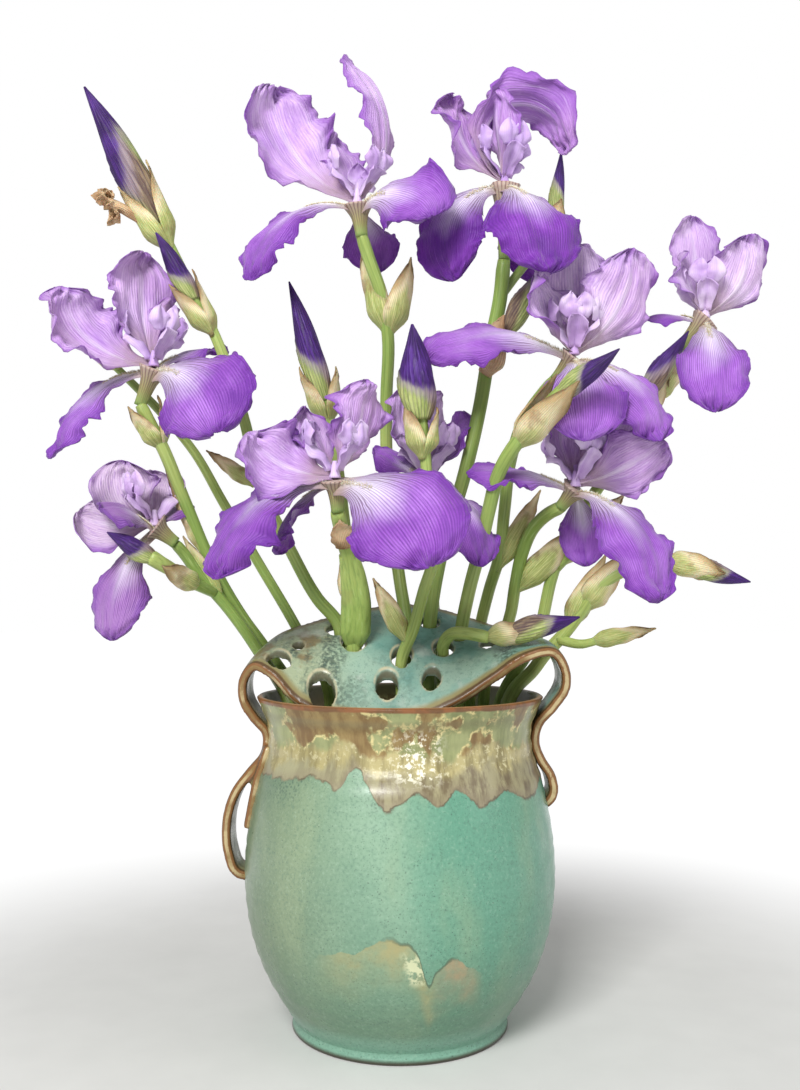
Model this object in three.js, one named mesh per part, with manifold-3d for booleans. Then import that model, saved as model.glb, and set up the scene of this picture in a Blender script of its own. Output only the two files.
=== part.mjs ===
// Bearded irises in a stoneware vase with a pierced clay strap over its mouth.
// Millimetres, +Z up. The origin is the centre of the vase's flat underside,
// +X is to the right and +Y is away from the viewer.
import * as THREE from 'three';
import Module from 'manifold-3d';

const wasm = await Module();
wasm.setup();

// Vase: pairs of radius and height up the outside and up the inside
const FLOOR_THICK = 8;
const FOOT_RADIUS = 59;
const BODY_OUTSIDE = [
  [FOOT_RADIUS, 0], [57, 5], [62, 12], [74, 32], [82, 55], [85, 79],
  [83.5, 105], [78, 134], [73, 152], [73, 162], [79, 178],
];
const BODY_INSIDE = [[50, FLOOR_THICK], [66, 26], [78, 60], [79, 92], [73, 132], [68, 156], [75, 178]];
const BODY_SIDES = 28;

// The strap: 5 mm of clay, with a front and a back edge at each station
const STRAP_THICK = 5;
const STRAP_ACROSS = 2;
const STRAP_STATIONS = [
  { front: [-80, -9, 80], back: [-80, 11, 80] },
  { front: [-89, -11, 83], back: [-89, 12, 83] },
  { front: [-93.5, -12, 94], back: [-93.5, 12, 94] },
  { front: [-94.5, -12, 110], back: [-94.5, 12, 110] },
  { front: [-90, -12, 126], back: [-90, 12, 126] },
  { front: [-82, -12, 137], back: [-82, 12, 137] },
  { front: [-74, -11, 147], back: [-74, 12, 147] },
  { front: [-73, -11, 158], back: [-73, 12, 158] },
  { front: [-80, -13, 167], back: [-80, 13, 168] },
  { front: [-85.5, -15, 177], back: [-85.5, 14, 179] },
  { front: [-85, -17, 188], back: [-85, 15, 191] },
  { front: [-79, -20, 195], back: [-79, 16, 200], bulge: 1 },
  { front: [-70, -24, 191], back: [-68, 19, 210], bulge: 3 },
  { front: [-56, -28, 177], back: [-52, 24, 216], bulge: 6 },
  { front: [-36, -30, 169], back: [-30, 32, 222], bulge: 8 },
  { front: [-12, -30, 166], back: [-8, 38, 226], bulge: 8 },
  { front: [10, -30, 168], back: [14, 38, 226], bulge: 8 },
  { front: [30, -30, 176], back: [34, 35, 221], bulge: 6 },
  { front: [50, -31, 189], back: [52, 29, 215], bulge: 4 },
  { front: [68, -32, 201], back: [70, 22, 209], bulge: 2 },
  { front: [82, -30, 203], back: [84, 17, 205], bulge: 1 },
  { front: [88, -27, 195], back: [89, 14, 197] },
  { front: [89, -24, 184], back: [90, 13, 186] },
  { front: [83, -21, 174], back: [84, 12, 175] },
  { front: [74.5, -18, 163], back: [74.5, 12, 163] },
  { front: [73.5, -16, 153], back: [73.5, 12, 153] },
  { front: [77, -14, 144], back: [77, 12, 144] },
  { front: [82.5, -13, 135], back: [82.5, 11, 135] },
  { front: [83.5, -12, 125], back: [83.5, 11, 125] },
  { front: [79, -11, 119], back: [79, 11, 119] },
];
const INNER_STRAP_STATIONS = [
  { front: [-71, -17, 152], back: [-73, 9, 152] },
  { front: [-77, -18, 133], back: [-79, 8, 133] },
  { front: [-82, -18, 108], back: [-84, 6, 108] },
];

// Holes in the slab: [x, y, z] of the middle, and half the width
const SLAB_HOLES = [
  { at: [-36, 12, 216], wide: 6.5 },
  { at: [-26, 2, 204], wide: 7 },
  { at: [1, -6, 198], wide: 6 },
  { at: [4, 14, 214], wide: 5.5 },
  { at: [17, 18, 216], wide: 6 },
  { at: [24, -2, 200], wide: 6 },
  { at: [34, 8, 209], wide: 5.5 },
  { at: [49, -3, 203], wide: 5 },
  { at: [17, -18, 184], wide: 5.5 },
  { at: [-7, -19, 183], wide: 6.5 },
  { at: [-56, -2, 198], wide: 3.5 },
  { at: [-66, -14, 195], wide: 7 },
  { at: [-42, -24, 186], wide: 7.5 },
];
const HOLE_SIDES = 6;
const HOLE_DEPTH = 44;

// Stems: a stem's foot stands on the floor below the point where it enters the vase
const FOOT_SPREAD = 0.74;
const STEM_SIDES = 5;

// Water, and the clearance between pieces that touch
const WATER_FOOT = 9;
const WATER_LEVEL = 120;
const WATER_RADIUS = 74.3;
const CLEAR = 0.3;

// Petals: `wrap` is the arc across the rib in degrees, `cup` its side (1 hollow above, -1 arched)
// and `ruffle` how far the border waves. `ROOT_OUT` is how far out of the heart a petal starts.
const PETAL_THICK = 1.1;
const PETAL_STEPS = 4;
const STANDARD_ACROSS = 3;
const FALL_ACROSS = 2;
const STANDARD_FORM = { wrap: 70, cup: 1, ruffle: 4 };
const FALL_FORM = { wrap: 60, cup: -1, ruffle: 3 };
const ROOT_OUT = 3;
const BORDER_BACK = 0.16;
const RUFFLE_ALONG = 9;
const RUFFLE_ACROSS = 2;

// The crown of three style arms inside the standards, and the tube that carries the falls
const CROWN_FOOT = 0.4;
const CROWN_ROOT = 2;
const CROWN_RISES = [0, 9, 22];
const CROWN_RADIUS = [4.8, 7.2];
const CROWN_RIDGE = 0.3;
const HAFT_DROP = 3;
const TUBE_RADIUS = 4.6;
const THROAT_RADIUS = 7;
const TUBE_BEND = 0.6;
const ROD_SIDES = 6;

// Buds: petals rolled round each other, so that the section has three ridges that turn
const BUD_STEPS = 6;
const BUD_RIDGE = 0.1;
const BUD_TWIST = 2.4;

// Spathes
const SPATHE_THICK = 0.9;
const SPATHE_ROOT = 1.6;
const SPATHE_OPENS_BY = 0.3;
const SPATHE_BORDER_BACK = 0.12;
const SPATHE_STEPS = 3;
const SPATHE_ACROSS = 2;

// The dried-up flower: a knot with shrivelled lobes
const DRIED_THICK = 1.2;
const DRIED_LOBES = 4;
const DRIED_STEPS = 2;
const DRIED_LOBE = { long: 10, wide: 11, wrap: 120 };
const DRIED_KNOT = { to: 180, rise: 20, end: 20, long: 8 };
const DRIED_KNOT_RADIUS = 3.2;

const COLOURS = {
  vase: ['#6f9c86', 0.3, 0],
  water: ['#cfdcd2', 0.05, 0],
  stem: ['#6f9440', 0.55, 0],
  standards: ['#c3a3dc', 0.6, 0],
  falls: ['#7340b4', 0.55, 0],
  bud: ['#47257f', 0.5, 0],
  dry: ['#a98a5a', 0.85, 0],
};

// Each plant: its stem from the vase's mouth upwards, branches, spathes, buds and blooms.
// A petal, style or spathe leaves its root towards the compass angle `to` (0 is right,
// 90 away, 180 left, 270 nearer), climbs at `rise` degrees and ends at `end` degrees.
// `roll` turns its face about its rib.
const PLANTS = [
  {
    name: 'tall',
    stem: [
      [-35, 12, 217], [-47, 10, 232], [-62, 8, 259], [-78, 5, 293], [-89, 2, 336],
      [-104, 0, 379], [-119, 0, 409], [-133, 0, 437], [-141, 0, 453],
    ],
    thick: [4, 2.6],
    branches: [
      { points: [[-107, -1, 385], [-113, -5, 395], [-119, -8, 406]], thick: [3, 2.4] },
      { points: [[-131, 0, 432], [-143, -3, 443], [-155, -5, 451]], thick: [2.2, 1.8] },
    ],
    spathes: [
      { root: [-129, -1, 428], to: 181, rise: 60, long: 46, wide: 18, wrap: 150, roll: -30 },
      { root: [-129, -1, 428], to: 181, rise: 63, long: 54, wide: 19, wrap: 150, roll: -175 },
      { root: [-105, -2, 380], to: 188, rise: 59, long: 36, wide: 15, wrap: 160, roll: -30 },
      { root: [-104, 0, 378], to: 180, rise: 62, long: 42, wide: 13, wrap: 140, roll: -170 },
      { root: [-82, 5, 296], to: 170, rise: 36, long: 34, wide: 9, wrap: 150, roll: -90 },
    ],
    buds: [
      { name: 'tall', root: [-136, 0, 444], to: 181, rise: 61, long: 91, radius: 10 },
      { name: 'tall_side', root: [-115, -7, 399], to: 184, rise: 60, long: 44, radius: 6 },
    ],
    driedFlower: [-161, -5, 453],
  },
  {
    name: 'behind_left',
    stem: [
      [-42, 34, 177], [-62, 37, 216], [-84, 32, 254], [-104, 26, 289], [-120, 24, 317],
      [-142, 24, 343], [-160, 24, 361], [-174, 22, 375],
    ],
    thick: [3.6, 2.2],
    buds: [{ name: 'behind_left', root: [-171, 22, 372], to: 184, rise: 49, long: 42, radius: 5.5 }],
    spathes: [
      { root: [-164, 23, 366], to: 184, rise: 49, long: 22, wide: 13, wrap: 150, roll: -60 },
    ],
  },
  {
    name: 'left',
    stem: [
      [-55, 22, 163], [-81, 33, 205], [-91, 30, 219], [-107, 20, 248], [-123, 10, 288],
      [-135, 3, 319], [-142, 0, 333], [-146, -1, 341],
    ],
    thick: [3.6, 3.6],
    spathes: [
      { root: [-134, 4, 316], to: 198, rise: 62, long: 30, wide: 15, wrap: 150, roll: -30 },
      { root: [-134, 4, 316], to: 195, rise: 67, long: 30, wide: 16, wrap: 150, roll: -175 },
      { root: [-111, 17, 254], to: 190, rise: 66, long: 62, wide: 9, wrap: 150, roll: -90 },
    ],
    bloom: {
      heart: [-138, -5, 361], base: [-146, -1, 342],
      standards: [
        { to: 150, rise: 66, end: 98, long: 64, wide: 48, roll: 20 },
        { to: 195, rise: -3, end: 82, long: 68, wide: 56, roll: 50 },
        { to: 20, rise: 60, end: 100, long: 38, wide: 24, roll: 20, across: 2 },
      ],
      falls: [
        { to: 185, rise: 0, end: -85, long: 78, wide: 38, roll: 30 },
        { to: 312, rise: 2, end: -68, long: 80, wide: 60, roll: -55 },
        { to: 40, rise: 45, end: 0, long: 50, wide: 34, roll: 0 },
      ],
    },
  },
  {
    name: 'low_left',
    stem: [
      [-61, 10, 167], [-83, 23, 203], [-98, 19, 225], [-115, 12, 246], [-123, 8, 258],
      [-127, 5, 263],
    ],
    thick: [3.4, 3.2],
    branches: [
      { points: [[-106, 16, 235], [-116, 0, 241], [-127, -14, 249], [-136, -20, 255]], thick: [3, 4.4] },
    ],
    spathes: [
      { root: [-102, 18, 230], to: 190, rise: 60, long: 44, wide: 10, wrap: 150, roll: -80 },
      { root: [-112, 6, 238], to: 228, rise: 24, long: 34, wide: 12, wrap: 190, roll: -70 },
    ],
    buds: [{ name: 'low_left', root: [-133, -19, 253], to: 183, rise: 30, long: 30, radius: 6 }],
    bloom: {
      heart: [-138, 0, 272], base: [-128, 4, 264],
      standards: [
        { to: 176, rise: 30, end: 100, long: 40, wide: 42, roll: 75 },
        { to: 185, rise: -18, end: 35, long: 42, wide: 40, roll: 65 },
        { to: 110, rise: 40, end: 90, long: 34, wide: 32, roll: 0, across: 2 },
      ],
      falls: [
        { to: 232, rise: 40, end: -5, long: 38, wide: 26, roll: 30 },
        { to: 205, rise: -42, end: -100, long: 64, wide: 34, roll: 50 },
        { to: 60, rise: 55, end: 0, long: 34, wide: 20, roll: 0 },
      ],
    },
  },
  {
    name: 'front',
    stem: [
      [-26, 2, 203], [-24, -10, 229], [-27, -20, 251], [-31, -32, 268], [-33, -40, 278],
    ],
    thick: [5, 4],
    branches: [
      {
        points: [[-26, -14, 241], [-31, -4, 276], [-35, 3, 305], [-40, 2, 333], [-45, 0, 351]],
        thick: [3, 3.4],
      },
    ],
    spathes: [
      { root: [-40, 2, 330], to: 172, rise: 75, long: 36, wide: 17, wrap: 150, roll: -30 },
      { root: [-40, 2, 330], to: 172, rise: 80, long: 32, wide: 18, wrap: 150, roll: -175 },
      { root: [-25, -9, 226], to: 180, rise: 84, long: 40, wide: 15, wrap: 150, roll: -90 },
    ],
    buds: [{ name: 'front_side', root: [-42, 1, 343], to: 178, rise: 73, long: 72, radius: 7.5 }],
    dryBracts: [
      { root: [-29, -27, 261], to: 250, rise: 62, long: 18, wide: 15, wrap: 140, roll: -20, hug: 5.6 },
    ],
    bloom: {
      heart: [-34, -45, 294], base: [-33, -41, 279],
      standards: [
        { to: 190, rise: -4, end: 54, long: 50, wide: 46, roll: 70 },
        { to: 15, rise: 56, end: 88, long: 52, wide: 38, roll: 60 },
        { to: 145, rise: 42, end: 82, long: 42, wide: 28, roll: 10, across: 2 },
      ],
      falls: [
        { to: 192, rise: 10, end: -90, long: 86, wide: 46, roll: 30 },
        { to: 314, rise: 2, end: -68, long: 84, wide: 64, roll: -52 },
        { to: 155, rise: -5, end: -90, long: 52, wide: 32, roll: 20 },
      ],
    },
  },
  {
    name: 'front_bud',
    stem: [
      [1, -6, 199], [7, -12, 215], [13, -20, 237], [17, -24, 250], [15, -28, 285],
      [13, -31, 314], [11, -33, 333],
    ],
    thick: [3.4, 3],
    spathes: [
      { root: [12, -32, 306], to: 180, rise: 86, long: 32, wide: 16, wrap: 160, roll: -30 },
      { root: [12, -32, 306], to: 180, rise: 88, long: 28, wide: 17, wrap: 150, roll: -175 },
      { root: [4, -10, 208], to: 180, rise: 62, long: 40, wide: 12, wrap: 140, roll: -90 },
    ],
    buds: [{ name: 'front', root: [11, -33, 327], to: 180, rise: 85, long: 52, radius: 10.5 }],
  },
  {
    name: 'top_left',
    stem: [
      [4, 14, 214], [0, 24, 241], [-5, 32, 277], [-8, 32, 317], [-8, 24, 350], [-7, 12, 383],
      [-10, 5, 403], [-18, -2, 425], [-22, -5, 437],
    ],
    thick: [3.6, 3.6],
    spathes: [
      { root: [-7, 12, 382], to: 200, rise: 80, long: 52, wide: 18, wrap: 150, roll: -30 },
      { root: [-7, 12, 382], to: 330, rise: 80, long: 46, wide: 19, wrap: 140, roll: 20 },
    ],
    bloom: {
      heart: [-24, -6, 453], base: [-22, -5, 437],
      standards: [
        { to: 182, rise: 20, end: 90, long: 84, wide: 50, roll: 68 },
        { to: 0, rise: 45, end: 150, long: 92, wide: 34, roll: 28 },
        { to: 130, rise: 40, end: 85, long: 54, wide: 34, roll: 0, across: 2 },
      ],
      falls: [
        { to: 197, rise: 14, end: -88, long: 84, wide: 34, roll: 25 },
        { to: 322, rise: 30, end: -62, long: 58, wide: 48, roll: -58 },
        { to: 75, rise: 5, end: -70, long: 48, wide: 34, roll: 0 },
      ],
    },
  },
  {
    name: 'top_right',
    stem: [
      [17, 18, 215], [23, 20, 254], [38, 19, 306], [46, 18, 341], [52, 17, 376], [58, 13, 406],
      [60, 11, 427],
    ],
    thick: [3.8, 4.2],
    branches: [
      { points: [[50, 17, 363], [57, 9, 377], [63, 5, 389]], thick: [3, 3.2] },
      { points: [[58, 13, 406], [72, 22, 426], [86, 29, 443], [93, 32, 453]], thick: [2.6, 2.6] },
    ],
    spathes: [
      { root: [89, 30, 447], to: 20, rise: 78, long: 22, wide: 12, wrap: 170, roll: 90 },
    ],
    buds: [
      { name: 'top_right_low', root: [61, 6, 384], to: 348, rise: 59, long: 46, radius: 7 },
      { name: 'top_right_side', root: [92, 32, 451], to: 20, rise: 84, long: 50, radius: 5 },
    ],
    dryBracts: [
      { root: [50, 16.4, 362], to: 318, rise: 53, long: 36, wide: 22, wrap: 150, roll: 90, hug: 4.6 },
    ],
    bloom: {
      heart: [60, 8, 470], base: [60, 11, 429],
      standards: [
        { to: 190, rise: 20, end: 100, long: 58, wide: 46, roll: 55 },
        { to: 235, rise: 72, end: 92, long: 50, wide: 30, roll: 30 },
        { to: 10, rise: 148, end: -98, long: 104, wide: 36, roll: 30, across: 2 },
      ],
      falls: [
        { to: 292, rise: -12, end: -94, long: 82, wide: 58, roll: -5 },
        { to: 205, rise: 0, end: -125, long: 76, wide: 42, roll: 45 },
        { to: 60, rise: 5, end: -90, long: 70, wide: 40, roll: 0 },
      ],
    },
  },
  {
    name: 'middle',
    stem: [[22, 47, 206], [20, 44, 231], [19, 36, 255], [17, 22, 277], [16, 13, 285]],
    thick: [3.4, 3.6],
    spathes: [
      { root: [18, 29, 266], to: 262, rise: 72, long: 19, wide: 13, wrap: 160, roll: 0 },
    ],
    bloom: {
      heart: [16, 8, 299], base: [16, 12, 286],
      standards: [
        { to: 170, rise: 62, end: 95, long: 52, wide: 36, roll: 45 },
        { to: 20, rise: 72, end: 92, long: 48, wide: 34, roll: 35 },
        { to: 235, rise: 20, end: 62, long: 32, wide: 28, roll: 35, across: 2 },
      ],
      falls: [
        { to: 165, rise: 50, end: 20, long: 38, wide: 28, roll: 30 },
        { to: 50, rise: 62, end: 50, long: 54, wide: 30, roll: 20 },
        { to: 318, rise: -8, end: -96, long: 64, wide: 38, roll: -10 },
      ],
    },
  },
  {
    name: 'low_bud',
    stem: [[24, -2, 200], [24, -7, 207], [29, -13, 213], [37, -17, 213], [48, -20, 211]],
    thick: [3.2, 3.6],
    spathes: [
      { root: [45, -19, 211], to: 357, rise: 10, long: 32, wide: 13, wrap: 200, roll: 70 },
    ],
    buds: [{ name: 'low', root: [56, -21, 212], to: 357, rise: 14, long: 42, radius: 7 }],
  },
  {
    name: 'leaning_bud',
    stem: [
      [34, 8, 209], [39, 4, 237], [46, -4, 265], [49, -12, 281], [54, -24, 301], [63, -36, 316],
      [77, -48, 332], [86, -55, 341],
    ],
    thick: [3.6, 4],
    spathes: [
      { root: [60, -32, 311], to: 320, rise: 42, long: 42, wide: 15, wrap: 160, roll: 40 },
      { root: [60, -32, 311], to: 320, rise: 46, long: 34, wide: 16, wrap: 140, roll: 190 },
    ],
    buds: [{ name: 'leaning', root: [81, -51, 336], to: 335, rise: 34, long: 40, radius: 6.2 }],
  },
  {
    name: 'right',
    stem: [
      [42, 42, 181], [53, 40, 237], [58, 32, 255], [61, 26, 283], [64, 18, 312], [71, 8, 334],
      [80, 2, 347], [87, -2, 355],
    ],
    thick: [3.4, 3.6],
    spathes: [
      { root: [67, 14, 322], to: 325, rise: 54, long: 34, wide: 14, wrap: 160, roll: 60 },
      { root: [57, 33, 248], to: 350, rise: 62, long: 48, wide: 9, wrap: 150, roll: 80 },
    ],
    bloom: {
      heart: [97, -8, 367], base: [88, -3, 356],
      standards: [
        { to: 90, rise: 72, end: 86, long: 62, wide: 50, roll: 0 },
        { to: 200, rise: 35, end: 92, long: 50, wide: 42, roll: 55 },
        { to: 350, rise: 30, end: 92, long: 66, wide: 46, roll: 60, across: 2 },
      ],
      falls: [
        { to: 190, rise: 32, end: -34, long: 88, wide: 38, roll: 45 },
        { to: 270, rise: -15, end: -90, long: 66, wide: 52, roll: 0 },
        { to: 335, rise: -5, end: -88, long: 70, wide: 46, roll: -30 },
      ],
    },
  },
  {
    name: 'low_right',
    stem: [
      [50, 34, 181], [66, 40, 224], [68, 34, 240], [71, 27, 257], [76, 18, 271], [84, 4, 280],
      [90, -4, 283],
    ],
    thick: [3.4, 3.8],
    spathes: [
      { root: [67, 36, 235], to: 350, rise: 46, long: 50, wide: 10, wrap: 150, roll: 80 },
    ],
    bloom: {
      heart: [97, -10, 293], base: [90, -5, 284],
      standards: [
        { to: 5, rise: 42, end: 80, long: 60, wide: 54, roll: 72 },
        { to: 350, rise: 10, end: 40, long: 52, wide: 42, roll: 65 },
        { to: 130, rise: 60, end: 95, long: 48, wide: 36, roll: 0, across: 2 },
      ],
      falls: [
        { to: 183, rise: 30, end: -12, long: 60, wide: 34, roll: 25 },
        { to: 302, rise: -4, end: -88, long: 90, wide: 44, roll: -10 },
        { to: 70, rise: -20, end: -90, long: 50, wide: 30, roll: 0 },
      ],
    },
  },
  {
    name: 'far_right',
    stem: [
      [57, 24, 169], [82, 36, 212], [90, 33, 246], [98, 30, 268], [112, 30, 290], [130, 30, 317],
      [140, 30, 335], [148, 28, 349], [157, 24, 367], [164, 22, 379],
    ],
    thick: [3.6, 3.4],
    branches: [
      { points: [[92, 33, 249], [102, 22, 261], [110, 14, 272]], thick: [2.6, 2] },
      { points: [[136, 30, 327], [138, 20, 340], [141, 14, 352]], thick: [2.8, 3] },
    ],
    spathes: [
      { root: [138, 29, 332], to: 350, rise: 62, long: 36, wide: 15, wrap: 160, roll: 60 },
      { root: [148, 28, 348], to: 352, rise: 58, long: 34, wide: 15, wrap: 160, roll: 60 },
      { root: [106, 18, 267], to: 340, rise: 46, long: 34, wide: 13, wrap: 160, roll: 80 },
      { root: [92, 32, 250], to: 355, rise: 50, long: 44, wide: 13, wrap: 140, roll: 90 },
    ],
    buds: [{ name: 'far_right', root: [140, 15, 348], to: 350, rise: 55, long: 46, radius: 6.6 }],
    bloom: {
      heart: [178, 20, 395], base: [165, 22, 380],
      standards: [
        { to: 150, rise: 76, end: 92, long: 58, wide: 30, roll: 55 },
        { to: 195, rise: 45, end: 95, long: 38, wide: 30, roll: 50 },
        { to: 350, rise: 28, end: 96, long: 54, wide: 42, roll: 60, across: 2 },
      ],
      falls: [
        { to: 262, rise: -20, end: -90, long: 74, wide: 42, roll: 0 },
        { to: 178, rise: 20, end: -10, long: 38, wide: 20, roll: 20 },
        { to: 95, rise: 0, end: -88, long: 44, wide: 30, roll: 0 },
      ],
    },
  },
  {
    name: 'low_far_right',
    stem: [
      [59, 12, 166], [66, 19, 180], [77, 25, 190], [85, 27, 200], [94, 24, 210], [104, 18, 224],
      [114, 10, 239], [127, 6, 248], [142, 2, 253], [156, -2, 252],
    ],
    thick: [4.2, 3.4],
    branches: [{ points: [[92, 24, 208], [104, 13, 206], [114, 7, 209]], thick: [3, 2.2] }],
    spathes: [
      { root: [147, 0, 253], to: 352, rise: -8, long: 34, wide: 14, wrap: 220, roll: 70 },
      { root: [104, 18, 224], to: 345, rise: 54, long: 36, wide: 14, wrap: 150, roll: 80 },
      { root: [96, 23, 213], to: 352, rise: 64, long: 42, wide: 12, wrap: 150, roll: 80 },
      { root: [107, 11, 207], to: 338, rise: 14, long: 40, wide: 10, wrap: 150, roll: 80 },
    ],
    buds: [{ name: 'low_far_right', root: [158, -2, 251], to: 355, rise: -15, long: 38, radius: 6.4 }],
  },
];

const radians = (degrees) => THREE.MathUtils.degToRad(degrees);
const lerp = THREE.MathUtils.lerp;
const smooth = THREE.MathUtils.smoothstep;
const vector = (xyz) => new THREE.Vector3(...xyz);

// A closed solid from points and the triangles between them
function solid(points, triangles) {
  const vertProperties = new Float32Array(points.flatMap((point) => point.toArray()));
  const triVerts = new Uint32Array(triangles.flat());
  return new wasm.Manifold(new wasm.Mesh({ numProp: 3, vertProperties, triVerts }));
}

function fuse(solids) {
  return solids.reduce((joined, next) => joined.add(next));
}

function largestBody(shape) {
  const bodies = shape.decompose();
  return bodies.reduce((best, body) => (body.volume() > best.volume() ? body : best));
}

// A sheet of even thickness over a grid of points, with its border pushed out by `grow`
function sheet(grid, thickness, grow = 0) {
  const rows = grid.length;
  const columns = grid[0].length;
  const half = thickness / 2 + grow;
  const at = (i, j) => grid[Math.min(Math.max(i, 0), rows - 1)][Math.min(Math.max(j, 0), columns - 1)];
  const points = [];
  for (const side of [1, -1]) {
    for (let i = 0; i < rows; i += 1) {
      for (let j = 0; j < columns; j += 1) {
        const along = at(i + 1, j).clone().sub(at(i - 1, j)).normalize();
        const across = at(i, j + 1).clone().sub(at(i, j - 1)).normalize();
        const normal = along.clone().cross(across).normalize();
        const point = at(i, j).clone().addScaledVector(normal, side * half);
        if (i === 0) point.addScaledVector(along, -grow);
        if (i === rows - 1) point.addScaledVector(along, grow);
        if (j === 0) point.addScaledVector(across, -grow);
        if (j === columns - 1) point.addScaledVector(across, grow);
        points.push(point);
      }
    }
  }
  const top = (i, j) => i * columns + j;
  const under = (i, j) => (rows + i) * columns + j;
  const triangles = [];
  for (let i = 0; i < rows - 1; i += 1) {
    for (let j = 0; j < columns - 1; j += 1) {
      triangles.push([top(i, j), top(i + 1, j), top(i + 1, j + 1)]);
      triangles.push([top(i, j), top(i + 1, j + 1), top(i, j + 1)]);
      triangles.push([under(i, j), under(i + 1, j + 1), under(i + 1, j)]);
      triangles.push([under(i, j), under(i, j + 1), under(i + 1, j + 1)]);
    }
  }
  const wall = (a, b) => {
    triangles.push([top(...a), top(...b), under(...b)]);
    triangles.push([top(...a), under(...b), under(...a)]);
  };
  for (let i = 0; i < rows - 1; i += 1) {
    wall([i + 1, 0], [i, 0]);
    wall([i, columns - 1], [i + 1, columns - 1]);
  }
  for (let j = 0; j < columns - 1; j += 1) {
    wall([0, j], [0, j + 1]);
    wall([rows - 1, j + 1], [rows - 1, j]);
  }
  const body = solid(points, triangles);
  return body.volume() > 0 ? body : solid(points, triangles.map(([a, b, c]) => [a, c, b]));
}

// A round rod through points, its radius given by a function of the share of the way along
function rod(path, radiusAt, sides, grow = 0, ridge = 0, twist = 0) {
  const count = path.length;
  const points = [];
  const triangles = [];
  let side = null;
  path.forEach((centre, i) => {
    const before = path[Math.max(i - 1, 0)];
    const after = path[Math.min(i + 1, count - 1)];
    const along = after.clone().sub(before).normalize();
    if (side === null) {
      side = new THREE.Vector3(0, 1, 0).cross(along).normalize();
    }
    side.addScaledVector(along, -side.dot(along)).normalize();
    const up = along.clone().cross(side);
    const share = i / (count - 1);
    const radius = radiusAt(share) + grow;
    const middle = centre.clone();
    if (i === 0) middle.addScaledVector(along, -grow);
    if (i === count - 1) middle.addScaledVector(along, grow);
    for (let k = 0; k < sides; k += 1) {
      const angle = (k / sides) * 2 * Math.PI;
      const swell = 1 + ridge * Math.cos(3 * (angle + twist * share));
      const point = middle.clone();
      point.addScaledVector(side, radius * swell * Math.cos(angle));
      point.addScaledVector(up, radius * swell * Math.sin(angle));
      points.push(point);
    }
  });
  for (let i = 0; i < count - 1; i += 1) {
    for (let k = 0; k < sides; k += 1) {
      const next = (k + 1) % sides;
      const low = i * sides;
      const high = low + sides;
      triangles.push([low + k, low + next, high + next]);
      triangles.push([low + k, high + next, high + k]);
    }
  }
  const last = (count - 1) * sides;
  for (let k = 1; k < sides - 1; k += 1) {
    triangles.push([0, k + 1, k]);
    triangles.push([last, last + k, last + k + 1]);
  }
  return solid(points, triangles);
}

// A ring-shaped or full body turned about the vertical axis
function turned(profile, sides) {
  const lathe = new THREE.LatheGeometry(profile.map(([r, z]) => new THREE.Vector2(r, z)), sides);
  const rows = profile.length;
  const points = [];
  const triangles = [];
  const place = lathe.getAttribute('position');
  const axis = new Map();
  const indexOf = (k, i) => {
    if (profile[i][0] > 0) return (k % sides) * rows + i;
    return axis.get(i);
  };
  for (let k = 0; k < sides; k += 1) {
    for (let i = 0; i < rows; i += 1) {
      const source = k * rows + i;
      points.push(new THREE.Vector3(place.getX(source), -place.getZ(source), place.getY(source)));
      if (profile[i][0] === 0 && !axis.has(i)) axis.set(i, source);
    }
  }
  for (let k = 0; k < sides; k += 1) {
    for (let i = 0; i < rows; i += 1) {
      const next = (i + 1) % rows;
      const corners = [indexOf(k, i), indexOf(k + 1, i), indexOf(k + 1, next), indexOf(k, next)];
      for (const triangle of [[corners[0], corners[1], corners[2]], [corners[0], corners[2], corners[3]]]) {
        if (new Set(triangle).size === 3) triangles.push(triangle);
      }
    }
  }
  const used = [...new Set(triangles.flat())].sort((a, b) => a - b);
  const renumber = new Map(used.map((old, index) => [old, index]));
  const kept = used.map((old) => points[old]);
  const faces = triangles.map((triangle) => triangle.map((old) => renumber.get(old)));
  const body = solid(kept, faces);
  return body.volume() > 0 ? body : solid(kept, faces.map(([a, b, c]) => [a, c, b]));
}

function footBelow([x, y]) {
  return new THREE.Vector3(x * FOOT_SPREAD, y * FOOT_SPREAD, FLOOR_THICK + 2 * CLEAR);
}

// Vase

function strapGrid(stations, across) {
  return stations.map(({ front, back, bulge = 0 }, i) => {
    const from = stations[Math.max(i - 1, 0)];
    const to = stations[Math.min(i + 1, stations.length - 1)];
    const along = vector(to.front).sub(vector(from.front)).normalize();
    const span = vector(back).sub(vector(front)).normalize();
    const normal = along.clone().cross(span).normalize();
    const row = [];
    for (let j = 0; j <= across; j += 1) {
      const share = j / across;
      const arch = bulge * 4 * share * (1 - share);
      row.push(vector(front).lerp(vector(back), share).addScaledVector(normal, arch));
    }
    return row;
  });
}

// A hole through the slab, bored along the line from its middle to a stem's foot
function holePlug({ at, wide }) {
  const lean = vector(at).sub(footBelow(at)).normalize();
  const top = vector(at).addScaledVector(lean, HOLE_DEPTH / 2);
  const bottom = vector(at).addScaledVector(lean, -HOLE_DEPTH / 2);
  return rod([bottom, top], () => wide, HOLE_SIDES);
}

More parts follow.
